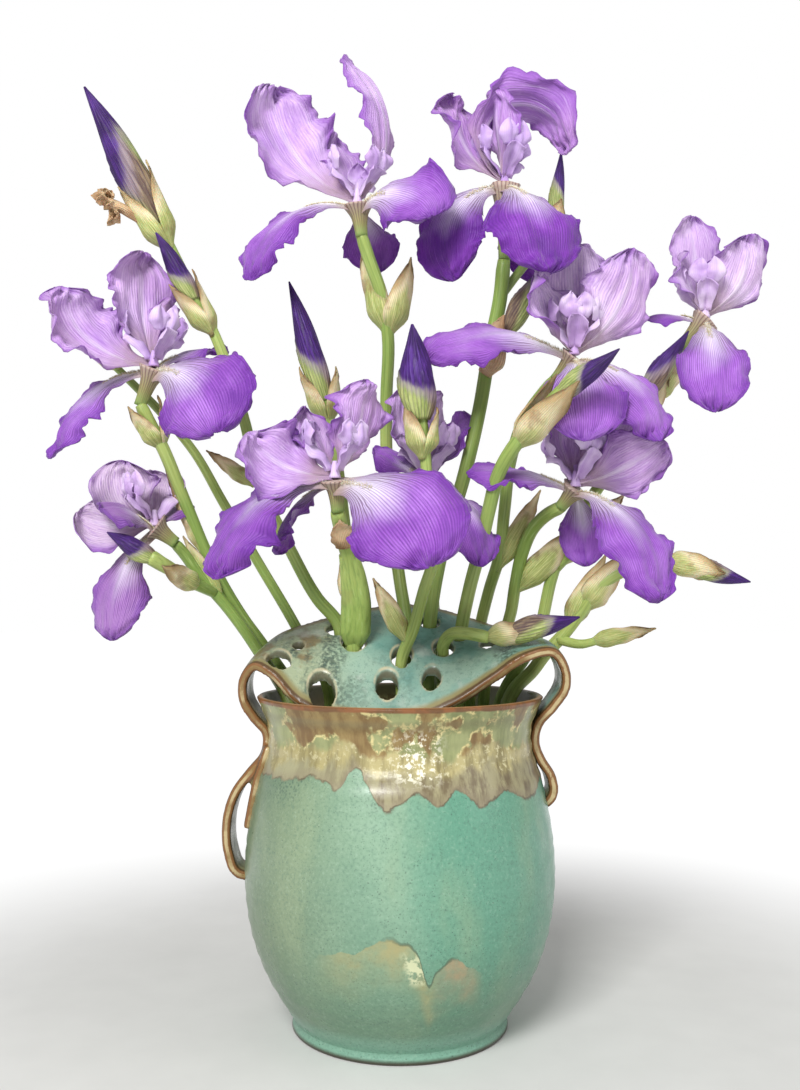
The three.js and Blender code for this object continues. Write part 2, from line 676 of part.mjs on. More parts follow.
function vaseSolid() {
  const rim = BODY_OUTSIDE.at(-1)[1];
  const outside = turned([[0, 0], ...BODY_OUTSIDE, [0, rim]], BODY_SIDES);
  const inside = turned([[0, FLOOR_THICK], ...BODY_INSIDE, [0, rim]], BODY_SIDES);
  const strap = sheet(strapGrid(STRAP_STATIONS, STRAP_ACROSS), STRAP_THICK);
  const slab = SLAB_HOLES.reduce((shape, hole) => shape.subtract(holePlug(hole)), strap);
  const innerStrap = sheet(strapGrid(INNER_STRAP_STATIONS, 1), STRAP_THICK);
  const bodyAndStrap = outside.add(innerStrap).subtract(inside);
  return bodyAndStrap.add(slab);
}

function waterSolid(stems) {
  const wall = BODY_INSIDE.filter(([, z]) => z < WATER_LEVEL).map(([r, z]) => [r - CLEAR, z]);
  wall[0][1] = WATER_FOOT;
  const surface = [[WATER_RADIUS, WATER_LEVEL], [0, WATER_LEVEL]];
  const full = turned([[0, WATER_FOOT], ...wall, ...surface], BODY_SIDES);
  return largestBody(stems.reduce((shape, stem) => shape.subtract(stem), full));
}

// Plants

// Points along a rib whose direction turns evenly from `rise` to `end`
function ribPoints(root, { to, rise, end, long }, steps) {
  const points = [root.clone()];
  const compass = radians(to);
  const stride = long / steps;
  for (let i = 0; i < steps; i += 1) {
    const climb = radians(lerp(rise, end, (i + 0.5) / steps));
    points.push(points[i].clone().add(new THREE.Vector3(
      stride * Math.cos(climb) * Math.cos(compass),
      stride * Math.cos(climb) * Math.sin(compass),
      stride * Math.sin(climb),
    )));
  }
  return points;
}

// The directions along, across and out of a blade's upper face, a share `u` of the way along
function bladeFrame({ to, rise, end, roll }, u) {
  const climb = radians(lerp(rise, end, u));
  const compass = radians(to);
  const along = new THREE.Vector3(
    Math.cos(climb) * Math.cos(compass),
    Math.cos(climb) * Math.sin(compass),
    Math.sin(climb),
  );
  const level = new THREE.Vector3(-Math.sin(compass), Math.cos(compass), 0);
  const sideways = level.applyAxisAngle(along, -radians(roll));
  return { along, sideways, face: along.clone().cross(sideways) };
}

// Half widths along a blade, as shares of its full half width
const OUTLINES = {
  standard: (u) => (0.14 + 0.86 * smooth(u, 0.04, 0.55)) * tipRound(u, 0.62, 0.34),
  fall: (u) => (0.16 + 0.84 * smooth(u, 0.08, 0.62)) * tipRound(u, 0.66, 0.36),
  dried: (u) => 0.5 + 0.5 * u,
  spathe: (u) => tipRound(u, 0.35, 0.14),
};

function tipRound(u, from, least) {
  const share = Math.max(0, (u - from) / (1 - from));
  return Math.max(least, Math.sqrt(Math.max(0, 1 - share * share)));
}

// A petal or spathe: an arc across its rib, with a waved border
function blade(root, spec, outline, steps, across, thickness, grow) {
  const start = root.clone().addScaledVector(bladeFrame(spec, 0).along, ROOT_OUT);
  const { cup = 1, ruffle = 0 } = spec;
  const rib = ribPoints(start, spec, steps);
  const half = radians(spec.wrap) / 2;
  const grid = rib.map((centre, i) => {
    const u = i / steps;
    const { along, sideways, face } = bladeFrame(spec, u);
    const halfWidth = (spec.wide / 2) * OUTLINES[outline](u);
    const bend = halfWidth / half;
    const row = [];
    for (let j = 0; j <= across; j += 1) {
      const v = (2 * j) / across - 1;
      const wave = ruffle * v * v * u * Math.sin(RUFFLE_ALONG * u + RUFFLE_ACROSS * v);
      const lift = bend * (1 - Math.cos(half * v)) * cup + wave;
      const point = centre.clone();
      point.addScaledVector(sideways, bend * Math.sin(half * v));
      point.addScaledVector(face, lift);
      point.addScaledVector(along, -BORDER_BACK * halfWidth * v * v * u * u);
      row.push(point);
    }
    return row;
  });
  return sheet(grid, thickness, grow);
}

// A spathe: a sheet wrapped part of the way round the shoot that it follows, its root sunk into it
function spatheSolid(bract, grow) {
  const spec = { end: bract.rise, ...bract };
  const axis = ribPoints(vector(spec.root), spec, SPATHE_STEPS);
  const grid = axis.map((centre, i) => {
    const u = i / SPATHE_STEPS;
    const { along, sideways, face } = bladeFrame(spec, u);
    const { hug = SPATHE_ROOT } = spec;
    const radius = lerp(hug, spec.wide / 2, smooth(u, 0, SPATHE_OPENS_BY));
    const turn = (radians(spec.wrap) / 2) * OUTLINES.spathe(u);
    const row = [];
    for (let j = 0; j <= SPATHE_ACROSS; j += 1) {
      const v = (2 * j) / SPATHE_ACROSS - 1;
      const point = centre.clone();
      point.addScaledVector(sideways, radius * Math.sin(turn * v));
      point.addScaledVector(face, -radius * Math.cos(turn * v));
      point.addScaledVector(along, -SPATHE_BORDER_BACK * spec.long * v * v * u);
      row.push(point);
    }
    return row;
  });
  return sheet(grid, SPATHE_THICK, grow);
}

function stemSolid(plant, grow) {
  const path = [footBelow(plant.stem[0]), ...plant.stem.map(vector)];
  const [low, high] = plant.thick;
  const parts = [rod(path, (share) => lerp(low, high, share), STEM_SIDES, grow)];
  for (const branch of plant.branches ?? []) {
    const [start, finish] = branch.thick;
    parts.push(rod(branch.points.map(vector), (share) => lerp(start, finish, share), STEM_SIDES, grow));
  }
  for (const spathe of plant.spathes ?? []) parts.push(spatheSolid(spathe, grow));
  return fuse(parts);
}

// A bud swells from just under half its full radius to the whole, then narrows to its tip
function budSwell(share) {
  return 0.46 + 3.1 * share - 5.6 * share ** 2 + 2.1 * share ** 3;
}

function budSolid(bud, grow) {
  const axis = ribPoints(vector(bud.root), { end: bud.rise, ...bud }, BUD_STEPS);
  return rod(axis, (share) => bud.radius * budSwell(share), ROD_SIDES, grow, BUD_RIDGE, BUD_TWIST);
}

function above(point, rise) {
  return vector(point).add(new THREE.Vector3(0, 0, rise));
}

function standardsSolid({ heart, standards }, grow) {
  const root = above(heart, CROWN_FOOT + CROWN_ROOT);
  const crown = CROWN_RISES.map((rise) => above(heart, CROWN_FOOT + rise));
  const styles = rod(crown, (share) => lerp(...CROWN_RADIUS, share), ROD_SIDES, grow, CROWN_RIDGE);
  const petals = standards.map(({ across = STANDARD_ACROSS, ...spec }) => (
    blade(root, { ...STANDARD_FORM, ...spec }, 'standard', PETAL_STEPS, across, PETAL_THICK, grow)
  ));
  return fuse([styles, ...petals]);
}

function fallsSolid({ heart, base, falls }, grow) {
  const top = vector(heart);
  const path = [vector(base), vector(base).lerp(top, TUBE_BEND), top];
  const tube = rod(path, (share) => lerp(TUBE_RADIUS, THROAT_RADIUS, share), ROD_SIDES, grow);
  const root = above(heart, -HAFT_DROP);
  const petals = falls.map((spec) => (
    blade(root, { ...FALL_FORM, ...spec }, 'fall', PETAL_STEPS, FALL_ACROSS, PETAL_THICK, grow)
  ));
  return fuse([tube, ...petals]);
}

function driedFlowerSolid(centre, grow) {
  const heart = vector(centre);
  const lobes = [];
  for (let k = 0; k < DRIED_LOBES; k += 1) {
    const way = { to: 120 + k * 60, rise: 70 - k * 30, end: 120 - k * 50, roll: k * 40 };
    const spec = { ...DRIED_LOBE, ...way };
    lobes.push(blade(heart, spec, 'dried', DRIED_STEPS, FALL_ACROSS, DRIED_THICK, grow));
  }
  const axis = ribPoints(heart, DRIED_KNOT, DRIED_STEPS);
  const knot = rod(axis, () => DRIED_KNOT_RADIUS, ROD_SIDES, grow);
  return fuse([knot, ...lobes]);
}

// Assembly: each piece is cleared of those placed before it

const pieces = [];

function place(name, kind, shapeOf) {
  pieces.push({ name, kind, shapeOf });
}

for (const plant of PLANTS) {
  place(`stem_${plant.name}`, 'stem', (grow) => stemSolid(plant, grow));
}
for (const plant of PLANTS) {
  for (const bud of plant.buds ?? []) {
    place(`bud_${bud.name}`, 'bud', (grow) => budSolid(bud, grow));
  }
  if (plant.driedFlower) {
    place('dried_flower', 'dry', (grow) => driedFlowerSolid(plant.driedFlower, grow));
  }
  (plant.dryBracts ?? []).forEach((bract) => {
    place(`dry_bract_${plant.name}`, 'dry', (grow) => spatheSolid(bract, grow));
  });
}
for (const plant of PLANTS.filter(({ bloom }) => bloom)) {
  place(`bloom_${plant.name}_standards`, 'standards', (grow) => standardsSolid(plant.bloom, grow));
}
for (const plant of PLANTS.filter(({ bloom }) => bloom)) {
  place(`bloom_${plant.name}_falls`, 'falls', (grow) => fallsSolid(plant.bloom, grow));
}

function boxesMeet(one, other) {
  const a = one.boundingBox();
  const b = other.boundingBox();
  return [0, 1, 2].every((axis) => a.min[axis] < b.max[axis] && b.min[axis] < a.max[axis]);
}

function meshOf(name, kind, shape) {
  const { vertProperties, triVerts } = shape.getMesh();
  const geometry = new THREE.BufferGeometry();
  geometry.setAttribute('position', new THREE.BufferAttribute(vertProperties, 3));
  geometry.setIndex(new THREE.BufferAttribute(triVerts, 1));
  geometry.computeVertexNormals();
  const [color, roughness, metalness] = COLOURS[kind];
  const mesh = new THREE.Mesh(geometry, new THREE.MeshStandardMaterial({ color, roughness, metalness }));
  mesh.name = name;
  return mesh;
}

const irises = new THREE.Group();
const vase = vaseSolid();
irises.add(meshOf('vase', 'vase', vase));

const grown = [];
for (const { name, kind, shapeOf } of pieces) {
  let shape = shapeOf(0);
  for (const other of grown) {
    if (boxesMeet(shape, other)) shape = shape.subtract(other);
  }
  shape = largestBody(shape);
  irises.add(meshOf(name, kind, shape));
  grown.push(shapeOf(CLEAR));
}
irises.add(meshOf('water', 'water', waterSolid(grown.slice(0, PLANTS.length))));

export default irises;
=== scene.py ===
import math
import random

import bpy
import numpy as np
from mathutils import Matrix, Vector, kdtree, noise


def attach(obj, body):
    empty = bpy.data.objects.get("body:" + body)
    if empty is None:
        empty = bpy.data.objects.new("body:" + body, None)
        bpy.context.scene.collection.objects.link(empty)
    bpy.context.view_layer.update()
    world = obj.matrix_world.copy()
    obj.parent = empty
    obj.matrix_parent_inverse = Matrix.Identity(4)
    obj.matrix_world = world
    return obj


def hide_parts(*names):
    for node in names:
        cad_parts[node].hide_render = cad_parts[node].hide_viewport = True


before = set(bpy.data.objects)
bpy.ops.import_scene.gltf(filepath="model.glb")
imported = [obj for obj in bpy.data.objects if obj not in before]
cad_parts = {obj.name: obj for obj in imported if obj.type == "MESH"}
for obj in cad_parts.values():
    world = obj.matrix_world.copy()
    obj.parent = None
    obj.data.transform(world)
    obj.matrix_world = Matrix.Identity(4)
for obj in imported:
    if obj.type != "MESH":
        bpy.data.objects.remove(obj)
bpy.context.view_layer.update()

MM = 0.001

# Vase: pairs of radius and height round the foot, up the outside, over the lip and up the inside
FOOT_RING = [[52, 0.5], [55, 0.1], [58.2, 0.1], [59, 0.9], [58.6, 3]]
BODY_OUTSIDE = [
    [57.2, 5], [62, 12], [74, 32], [82, 55], [85, 79], [83.5, 105], [78, 134], [73, 152],
    [73, 162], [79, 178],
]
LIP = [[78.9, 178.2], [77.8, 179], [76.2, 178.8], [75.2, 178]]
BODY_INSIDE = [[50, 8], [66, 26], [78, 60], [79, 92], [73, 132], [68, 156], [75, 177]]
BODY_SIDES = 144
STRAP_THICK = 5
# Stations along the clay strap: its front edge, its back edge and how far it arches between them
STRAP_STATIONS = [
    [[-80, -9, 80], [-80, 11, 80], 0], [[-89, -11, 83], [-89, 12, 83], 0],
    [[-93.5, -12, 94], [-93.5, 12, 94], 0], [[-94.5, -12, 110], [-94.5, 12, 110], 0],
    [[-90, -12, 126], [-90, 12, 126], 0], [[-82, -12, 137], [-82, 12, 137], 0],
    [[-74, -11, 147], [-74, 12, 147], 0], [[-73, -11, 158], [-73, 12, 158], 0],
    [[-80, -13, 167], [-80, 13, 168], 0], [[-85.5, -15, 177], [-85.5, 14, 179], 0],
    [[-85, -17, 188], [-85, 15, 191], 0], [[-79, -20, 195], [-79, 16, 200], 1],
    [[-70, -24, 191], [-68, 19, 210], 3], [[-56, -28, 177], [-52, 24, 216], 6],
    [[-36, -30, 169], [-30, 32, 222], 8], [[-12, -30, 166], [-8, 38, 226], 8],
    [[10, -30, 168], [14, 38, 226], 8], [[30, -30, 176], [34, 35, 221], 6],
    [[50, -31, 189], [52, 29, 215], 4], [[68, -32, 201], [70, 22, 209], 2],
    [[82, -30, 203], [84, 17, 205], 1], [[88, -27, 195], [89, 14, 197], 0],
    [[89, -24, 184], [90, 13, 186], 0], [[83, -21, 174], [84, 12, 175], 0],
    [[74.5, -18, 163], [74.5, 12, 163], 0], [[73.5, -16, 153], [73.5, 12, 153], 0],
    [[77, -14, 144], [77, 12, 144], 0], [[82.5, -13, 135], [82.5, 11, 135], 0],
    [[83.5, -12, 125], [83.5, 11, 125], 0], [[79, -11, 119], [79, 11, 119], 0],
]
INNER_STRAP_STATIONS = [
    [[-71, -17, 152], [-73, 9, 152], 0], [[-77, -18, 133], [-79, 8, 133], 0],
    [[-82, -18, 108], [-84, 6, 108], 0],
]
# Holes in the slab: the middle, and half the width
SLAB_HOLES = [
    [[-36, 12, 216], 6.5], [[-26, 2, 204], 7], [[1, -6, 198], 6], [[4, 14, 214], 5.5],
    [[17, 18, 216], 6], [[24, -2, 200], 6], [[34, 8, 209], 5.5], [[49, -3, 203], 5],
    [[17, -18, 184], 5.5], [[-7, -19, 183], 6.5], [[-56, -2, 198], 3.5], [[-66, -14, 195], 7],
    [[-42, -24, 186], 7.5],
]
HOLE_DEPTH = 44
BORE_SHARE = 0.94
FAR_FROM_HOLES = 99.0
CLAY_GRAIN = 1.25
# Border points further apart than this belong to different borders
BORDER_BREAK = 20
# A stem's foot: its share of the distance from the axis at the mouth, and its height
FOOT_SPREAD = 0.74
FOOT_HEIGHT = 8.6

# A petal's form: the arc across its rib in degrees, the side it is cupped to, how much its edge waves
# and how many pleats it has
FORMS = {
    "standard": {"wrap": 70, "cup": 1, "ruffle": 5.0, "pleats": 5},
    "fall": {"wrap": 60, "cup": -1, "ruffle": 3.0, "pleats": 4},
    "style": {"wrap": 120, "cup": -1, "ruffle": 0.5, "pleats": 1},
    "crest": {"wrap": 70, "cup": 1, "ruffle": 1.8, "pleats": 3},
    "dried": {"wrap": 130, "cup": 1, "ruffle": 2.4, "pleats": 3},
}
PETAL_THICK = 0.7
EDGE_THICK = 0.3
PETAL_ROWS = 54
PETAL_COLUMNS = 39
# Ruffles: a wave's length, the finer frill's share of its height, and the width and half width of a
# petal from which its border waves fully
WAVE_LONG = 21
FRILL = 0.42
LIMP_WIDE = 46
LIMP_HALF = 13
# How far a petal starts from the heart, the standards above it and the falls below it
ROOT_OUT = 1.5
CROWN_FOOT = 2.4
HAFT_DROP = 3
TUBE_FOOT = 3.4
THROAT_RADIUS = 8.6
BEARD_HAIRS = 320
HAIR_RADIUS = 0.2
SPATHE_THICK = 0.8
SPATHE_HUG = 1.6
BUD_TWIST = 2.4
DRIED_STALK = [[20, 2, -11], [13, 1, -6.5], [6, 0, -2], [-1, 0, 0.5], [-5, 0, 1.5]]

# How strong each bloom's lavender is: 0 is nearly white, 1 is violet
STRENGTH = {
    "left": 0.55, "low_left": 0.05, "front": 0.55, "top_left": 0.42, "top_right": 0.95,
    "middle": 0.4, "right": 0.15, "low_right": 0.5, "far_right": 0.2,
}

# The lower edge of the band of glaze round the vase's front: the angle from the middle in degrees,
# positive to the right, and the height in millimetres
BAND_EDGE = [
    [-90, 140], [-55, 139], [-43, 141], [-30, 142], [-24, 138], [-17, 149], [-10, 136], [-6, 129.5],
    [-1, 131], [6, 136.5], [10, 133], [13, 131], [17, 133], [21, 138], [26, 133], [32, 130.5],
    [38, 134], [45, 134.5], [54, 130], [62, 129], [70, 134], [90, 133],
]
# The lowest height in metres that the edge can take, and how far it can rise
BAND_LOW = 0.12
BAND_RISE = 0.04

# The upper edge of the ochre patch low on the front: millimetres from the middle, and the height
PATCH_EDGE = [
    [-60, 40], [-44, 55], [-31, 62], [-21, 62.5], [-14, 67], [-7, 70], [0, 68.5], [6, 66],
    [9.5, 60], [13.5, 46], [17, 52], [22, 57], [27, 58.6], [32, 55], [38, 50], [50, 40],
]
PATCH_LOW = 0.03
PATCH_RISE = 0.05

# Camera: metres in front of the vase's axis and above the floor, and degrees upwards
CAMERA_AWAY = 0.616
CAMERA_HIGH = 0.234
CAMERA_PITCH = 2.6
FOCAL_PIXELS = 1100
PHOTO_HEIGHT = 1090
# Half the floor's side, and the distances between which it fades, in metres
FLOOR_HALF = 6
FLOOR_FADE = (0.18, 0.5)
SOFT_LIGHT = 0.43
LIT_POINT = (0, 0, 0.28)

# The columns of a row for a petal, a spathe or dry bract, and a bud. Each leaves its root towards the
# compass angle `to` (0 is right, 90 away, 180 left, 270 nearer), climbs at `rise` degrees, ends at
# `end` degrees and is rolled about its rib. A branch is its points and the radii at its two ends, a
# sheath its points and its half widths.
PETAL = ("to", "rise", "end", "long", "wide", "roll", "ruffle")
SPATHE = ("root", "to", "rise", "long", "wide", "wrap", "roll", "hug")
BUD = ("name", "root", "to", "rise", "long", "radius")

# Each plant: its stem from the vase's mouth upwards, branches, spathes, buds and blooms
PLANTS = [
    {
        "name": "tall",
        "stem": [
            [-35, 12, 217], [-47, 10, 232], [-62, 8, 259], [-78, 5, 293], [-89, 2, 336], [-104, 0, 379],
            [-119, 0, 409], [-133, 0, 437], [-141, 0, 453],
        ],
        "thick": [4, 2.6],
        "branches": [
            [[[-107, -1, 385], [-113, -5, 395], [-119, -8, 406]], [3, 2.4]],
            [[[-131, 0, 432], [-143, -3, 443], [-155, -5, 451]], [2.2, 1.8]],
        ],
        "spathes": [
            [[-129, -1, 428], 181, 60, 46, 18, 150, -30], [[-129, -1, 428], 181, 63, 54, 19, 150, -175],
            [[-105, -2, 380], 188, 59, 36, 15, 160, -30], [[-104, 0, 378], 180, 62, 42, 13, 140, -170],
            [[-82, 5, 296], 170, 36, 34, 9, 150, -90],
        ],
        "buds": [["tall", [-136, 0, 444], 181, 61, 91, 10], ["tall_side", [-115, -7, 399], 184, 60, 44, 6]],
        "dried_flower": [-161, -5, 453],
    },
    {
        "name": "behind_left",
        "stem": [
            [-42, 34, 177], [-62, 37, 216], [-84, 32, 254], [-104, 26, 289], [-120, 24, 317],
            [-142, 24, 343], [-160, 24, 361], [-174, 22, 375],
        ],
        "thick": [3.6, 2.2],
        "buds": [["behind_left", [-171, 22, 372], 184, 49, 42, 5.5]],
        "spathes": [[[-164, 23, 366], 184, 49, 22, 13, 150, -60]],
    },
    {
        "name": "left",
        "stem": [
            [-55, 22, 163], [-81, 33, 205], [-91, 30, 219], [-107, 20, 248], [-123, 10, 288],
            [-135, 3, 319], [-142, 0, 333], [-146, -1, 341],
        ],
        "thick": [3.6, 3.6],
        "spathes": [
            [[-134, 4, 316], 198, 62, 30, 15, 150, -30], [[-134, 4, 316], 195, 67, 30, 16, 150, -175],
            [[-111, 17, 254], 190, 66, 62, 9, 150, -90],
        ],
        "bloom": {
            "heart": [-138, -5, 361],
            "base": [-146, -1, 342],
            "standards": [[150, 66, 98, 64, 48, 20], [195, -3, 82, 68, 56, 50], [20, 60, 100, 38, 24, 20]],
            "falls": [[185, 0, -85, 78, 38, 30], [312, 2, -68, 80, 60, -55], [40, 45, 0, 50, 34, 0]],
        },
    },
    {
        "name": "low_left",
        "stem": [
            [-61, 10, 167], [-83, 23, 203], [-98, 19, 225], [-115, 12, 246], [-123, 8, 258], [-127, 5, 263],
        ],
        "thick": [3.4, 3.2],
        "branches": [[[[-106, 16, 235], [-116, 0, 241], [-127, -14, 249], [-136, -20, 255]], [3, 4.4]]],
        "spathes": [
            [[-102, 18, 230], 190, 60, 44, 10, 150, -80], [[-112, 6, 238], 228, 24, 34, 12, 190, -70],
        ],
        "buds": [["low_left", [-133, -19, 253], 183, 30, 30, 6]],
        "bloom": {
            "heart": [-138, 0, 272],
            "base": [-128, 4, 264],
            "standards": [[176, 30, 100, 40, 42, 75], [185, -18, 35, 42, 40, 65], [110, 40, 90, 34, 32, 0]],
            "falls": [[232, 40, -5, 38, 26, 30], [205, -42, -100, 64, 34, 50], [60, 55, 0, 34, 20, 0]],
        },
    },
    {
        "name": "front",
        "stem": [[-26, 2, 203], [-24, -10, 229], [-27, -20, 251], [-31, -32, 268], [-33, -40, 278]],
        "thick": [5, 4],
        "sheaths": [
            [
                [[-25.8, 1, 206], [-25, -4, 216], [-24.4, -10, 230], [-26, -17, 246], [-28, -23, 256]],
                [4.2, 6.9, 6.7, 5.5, 4.2],
            ],
        ],
        "branches": [
            [[[-26, -14, 241], [-31, -4, 276], [-35, 3, 305], [-40, 2, 333], [-45, 0, 351]], [3, 3.4]],
        ],
        "spathes": [
            [[-40, 2, 330], 172, 75, 36, 17, 150, -30], [[-40, 2, 330], 172, 80, 32, 18, 150, -175],
            [[-25, -9, 226], 180, 84, 40, 15, 150, -90],
        ],
        "buds": [["front_side", [-42, 1, 343], 178, 73, 72, 7.5]],
        "dry_bracts": [[[-29, -27, 261], 250, 62, 18, 15, 140, -20, 5.6]],
        "bloom": {
            "heart": [-34, -45, 294],
            "base": [-33, -41, 279],
            "standards": [
                [190, -4, 54, 50, 46, 70, 8], [15, 56, 88, 52, 38, 60, 7], [145, 42, 82, 42, 28, 10],
            ],
            "falls": [[192, 10, -90, 86, 46, 30], [314, 2, -68, 84, 64, -52], [155, -5, -90, 52, 32, 20]],
        },
    },
    {
        "name": "front_bud",
        "stem": [
            [1, -6, 199], [7, -12, 215], [13, -20, 237], [17, -24, 250], [15, -28, 285], [13, -31, 314],
            [11, -33, 333],
        ],
        "thick": [3.4, 3],
        "spathes": [
            [[12, -32, 306], 180, 86, 32, 16, 160, -30], [[12, -32, 306], 180, 88, 28, 17, 150, -175],
            [[4, -10, 208], 180, 62, 40, 12, 140, -90],
        ],
        "buds": [["front", [11, -33, 327], 180, 85, 52, 10.5]],
    },
    {
        "name": "top_left",
        "stem": [
            [4, 14, 214], [0, 24, 241], [-5, 32, 277], [-8, 32, 317], [-8, 24, 350], [-7, 12, 383],
            [-10, 5, 403], [-18, -2, 425], [-22, -5, 437],
        ],
        "thick": [3.6, 3.6],
        "spathes": [[[-7, 12, 382], 200, 80, 52, 18, 150, -30], [[-7, 12, 382], 330, 80, 46, 19, 140, 20]],
        "bloom": {
            "heart": [-24, -6, 453],
            "base": [-22, -5, 437],
            "standards": [
                [182, 20, 90, 84, 50, 68], [0, 45, 150, 92, 34, 28, 2.8], [130, 40, 85, 54, 34, 0],
            ],
            "falls": [[197, 14, -88, 84, 34, 25], [322, 30, -62, 58, 48, -58], [75, 5, -70, 48, 34, 0]],
        },
    },
    {
        "name": "top_right",
        "stem": [
            [17, 18, 215], [23, 20, 254], [38, 19, 306], [46, 18, 341], [52, 17, 376], [58, 13, 406],
            [60, 11, 427],
        ],
        "thick": [3.8, 4.2],
        "branches": [
            [[[50, 17, 363], [57, 9, 377], [63, 5, 389]], [3, 3.2]],
            [[[58, 13, 406], [72, 22, 426], [86, 29, 443], [93, 32, 453]], [2.6, 2.6]],
        ],
        "spathes": [[[89, 30, 447], 20, 78, 22, 12, 170, 90]],
        "buds": [
            ["top_right_low", [61, 6, 384], 348, 59, 46, 7],
            ["top_right_side", [92, 32, 451], 20, 84, 50, 5],
        ],
        "dry_bracts": [[[50, 16.4, 362], 318, 53, 36, 22, 150, 90, 4.6]],
        "bloom": {
            "heart": [60, 8, 470],
            "base": [60, 11, 429],
            "standards": [
                [190, 20, 100, 58, 46, 55], [235, 72, 92, 50, 30, 30], [10, 148, -98, 104, 36, 30],
            ],
            "falls": [[292, -12, -94, 82, 58, -5], [205, 0, -125, 76, 42, 45], [60, 5, -90, 70, 40, 0]],
        },
    },
    {
        "name": "middle",
        "stem": [[22, 47, 206], [20, 44, 231], [19, 36, 255], [17, 22, 277], [16, 13, 285]],
        "thick": [3.4, 3.6],
        "spathes": [[[18, 29, 266], 262, 72, 19, 13, 160, 0]],
        "bloom": {
            "heart": [16, 8, 299],
            "base": [16, 12, 286],
            "standards": [[170, 62, 95, 52, 36, 45], [20, 72, 92, 48, 34, 35], [235, 20, 62, 32, 28, 35]],
            "falls": [[165, 50, 20, 38, 28, 30], [50, 62, 50, 54, 30, 20], [318, -8, -96, 64, 38, -10]],
        },
    },
    {
        "name": "low_bud",
        "stem": [[24, -2, 200], [24, -7, 207], [29, -13, 213], [37, -17, 213], [48, -20, 211]],
        "thick": [3.2, 3.6],
        "spathes": [[[45, -19, 211], 357, 10, 32, 13, 200, 70]],
        "buds": [["low", [56, -21, 212], 357, 14, 42, 7]],
    },
    {
        "name": "leaning_bud",
        "stem": [
            [34, 8, 209], [39, 4, 237], [46, -4, 265], [49, -12, 281], [54, -24, 301], [63, -36, 316],
            [77, -48, 332], [86, -55, 341],
        ],
        "thick": [3.6, 4],
        "spathes": [
            [[60, -32, 311], 320, 42, 54, 17, 170, 40], [[60, -32, 311], 320, 44, 46, 17, 150, 190],
        ],
        "buds": [["leaning", [81, -51, 336], 335, 34, 40, 6.2]],
    },
    {
        "name": "right",
        "stem": [
            [42, 42, 181], [53, 40, 237], [58, 32, 255], [61, 26, 283], [64, 18, 312], [71, 8, 334],
            [80, 2, 347], [87, -2, 355],
        ],
        "thick": [3.4, 3.6],
        "spathes": [[[67, 14, 322], 325, 54, 34, 14, 160, 60], [[57, 33, 248], 350, 62, 54, 13, 150, 80]],
        "bloom": {
            "heart": [97, -8, 367],
            "base": [88, -3, 356],
            "standards": [[90, 72, 86, 62, 50, 0], [200, 35, 92, 50, 42, 55], [350, 30, 92, 66, 46, 60]],
            "falls": [[190, 32, -34, 88, 38, 45], [270, -15, -90, 66, 52, 0], [335, -5, -88, 70, 46, -30]],
        },
    },
    {
        "name": "low_right",
        "stem": [
            [50, 34, 181], [66, 40, 224], [68, 34, 240], [71, 27, 257], [76, 18, 271], [84, 4, 280],
            [90, -4, 283],
        ],
        "thick": [3.4, 3.8],
        "spathes": [[[67, 36, 235], 350, 46, 58, 17, 150, 80]],
        "bloom": {
            "heart": [97, -10, 293],
            "base": [90, -5, 284],
            "standards": [[5, 42, 80, 60, 54, 72], [350, 10, 40, 52, 42, 65], [130, 60, 95, 48, 36, 0]],
            "falls": [[183, 30, -12, 60, 34, 25], [302, -4, -88, 90, 44, -10], [70, -20, -90, 50, 30, 0]],
        },
    },
    {
        "name": "far_right",
        "stem": [
            [57, 24, 169], [82, 36, 212], [90, 33, 246], [98, 30, 268], [112, 30, 290], [130, 30, 317],
            [140, 30, 335], [148, 28, 349], [157, 24, 367], [164, 22, 379],
        ],
        "thick": [3.6, 3.4],
        "branches": [
            [[[92, 33, 249], [102, 22, 261], [110, 14, 272]], [2.6, 2]],
            [[[136, 30, 327], [138, 20, 340], [141, 14, 352]], [2.8, 3]],
        ],
        "spathes": [
            [[138, 29, 332], 350, 62, 36, 15, 160, 60], [[148, 28, 348], 352, 58, 34, 15, 160, 60],
            [[106, 18, 267], 340, 46, 34, 13, 160, 80], [[92, 32, 250], 355, 50, 44, 13, 140, 90],
        ],
        "buds": [["far_right", [140, 15, 348], 350, 55, 46, 6.6]],
        "bloom": {
            "heart": [178, 20, 395],
            "base": [165, 22, 380],
            "standards": [[150, 76, 92, 58, 30, 55], [195, 45, 95, 38, 30, 50], [350, 28, 96, 54, 42, 60]],
            "falls": [[262, -20, -90, 74, 42, 0], [178, 20, -10, 38, 20, 20], [95, 0, -88, 44, 30, 0]],
        },
    },
    {
        "name": "low_far_right",
        "stem": [
            [59, 12, 166], [66, 19, 180], [77, 25, 190], [85, 27, 200], [94, 24, 210], [104, 18, 224],
            [114, 10, 239], [127, 6, 248], [142, 2, 253], [156, -2, 252],
        ],
        "thick": [4.2, 3.4],
        "branches": [[[[92, 24, 208], [104, 13, 206], [114, 7, 209]], [3, 2.2]]],
        "spathes": [
            [[147, 0, 253], 352, -8, 34, 14, 220, 70], [[104, 18, 224], 345, 54, 44, 17, 150, 80],
            [[96, 23, 213], 352, 64, 50, 15, 150, 80], [[107, 11, 207], 338, 14, 40, 10, 150, 80],
        ],
        "buds": [["low_far_right", [158, -2, 251], 355, -15, 38, 6.4]],
    },
]


def vec(*xyz):
    return np.array(xyz, dtype=float)


def unit(a):
    return a / np.maximum(np.linalg.norm(a, axis=-1, keepdims=True), 1e-9)


def smooth(value, low, high):
    share = min(max((value - low) / (high - low), 0), 1)
    return share * share * (3 - 2 * share)


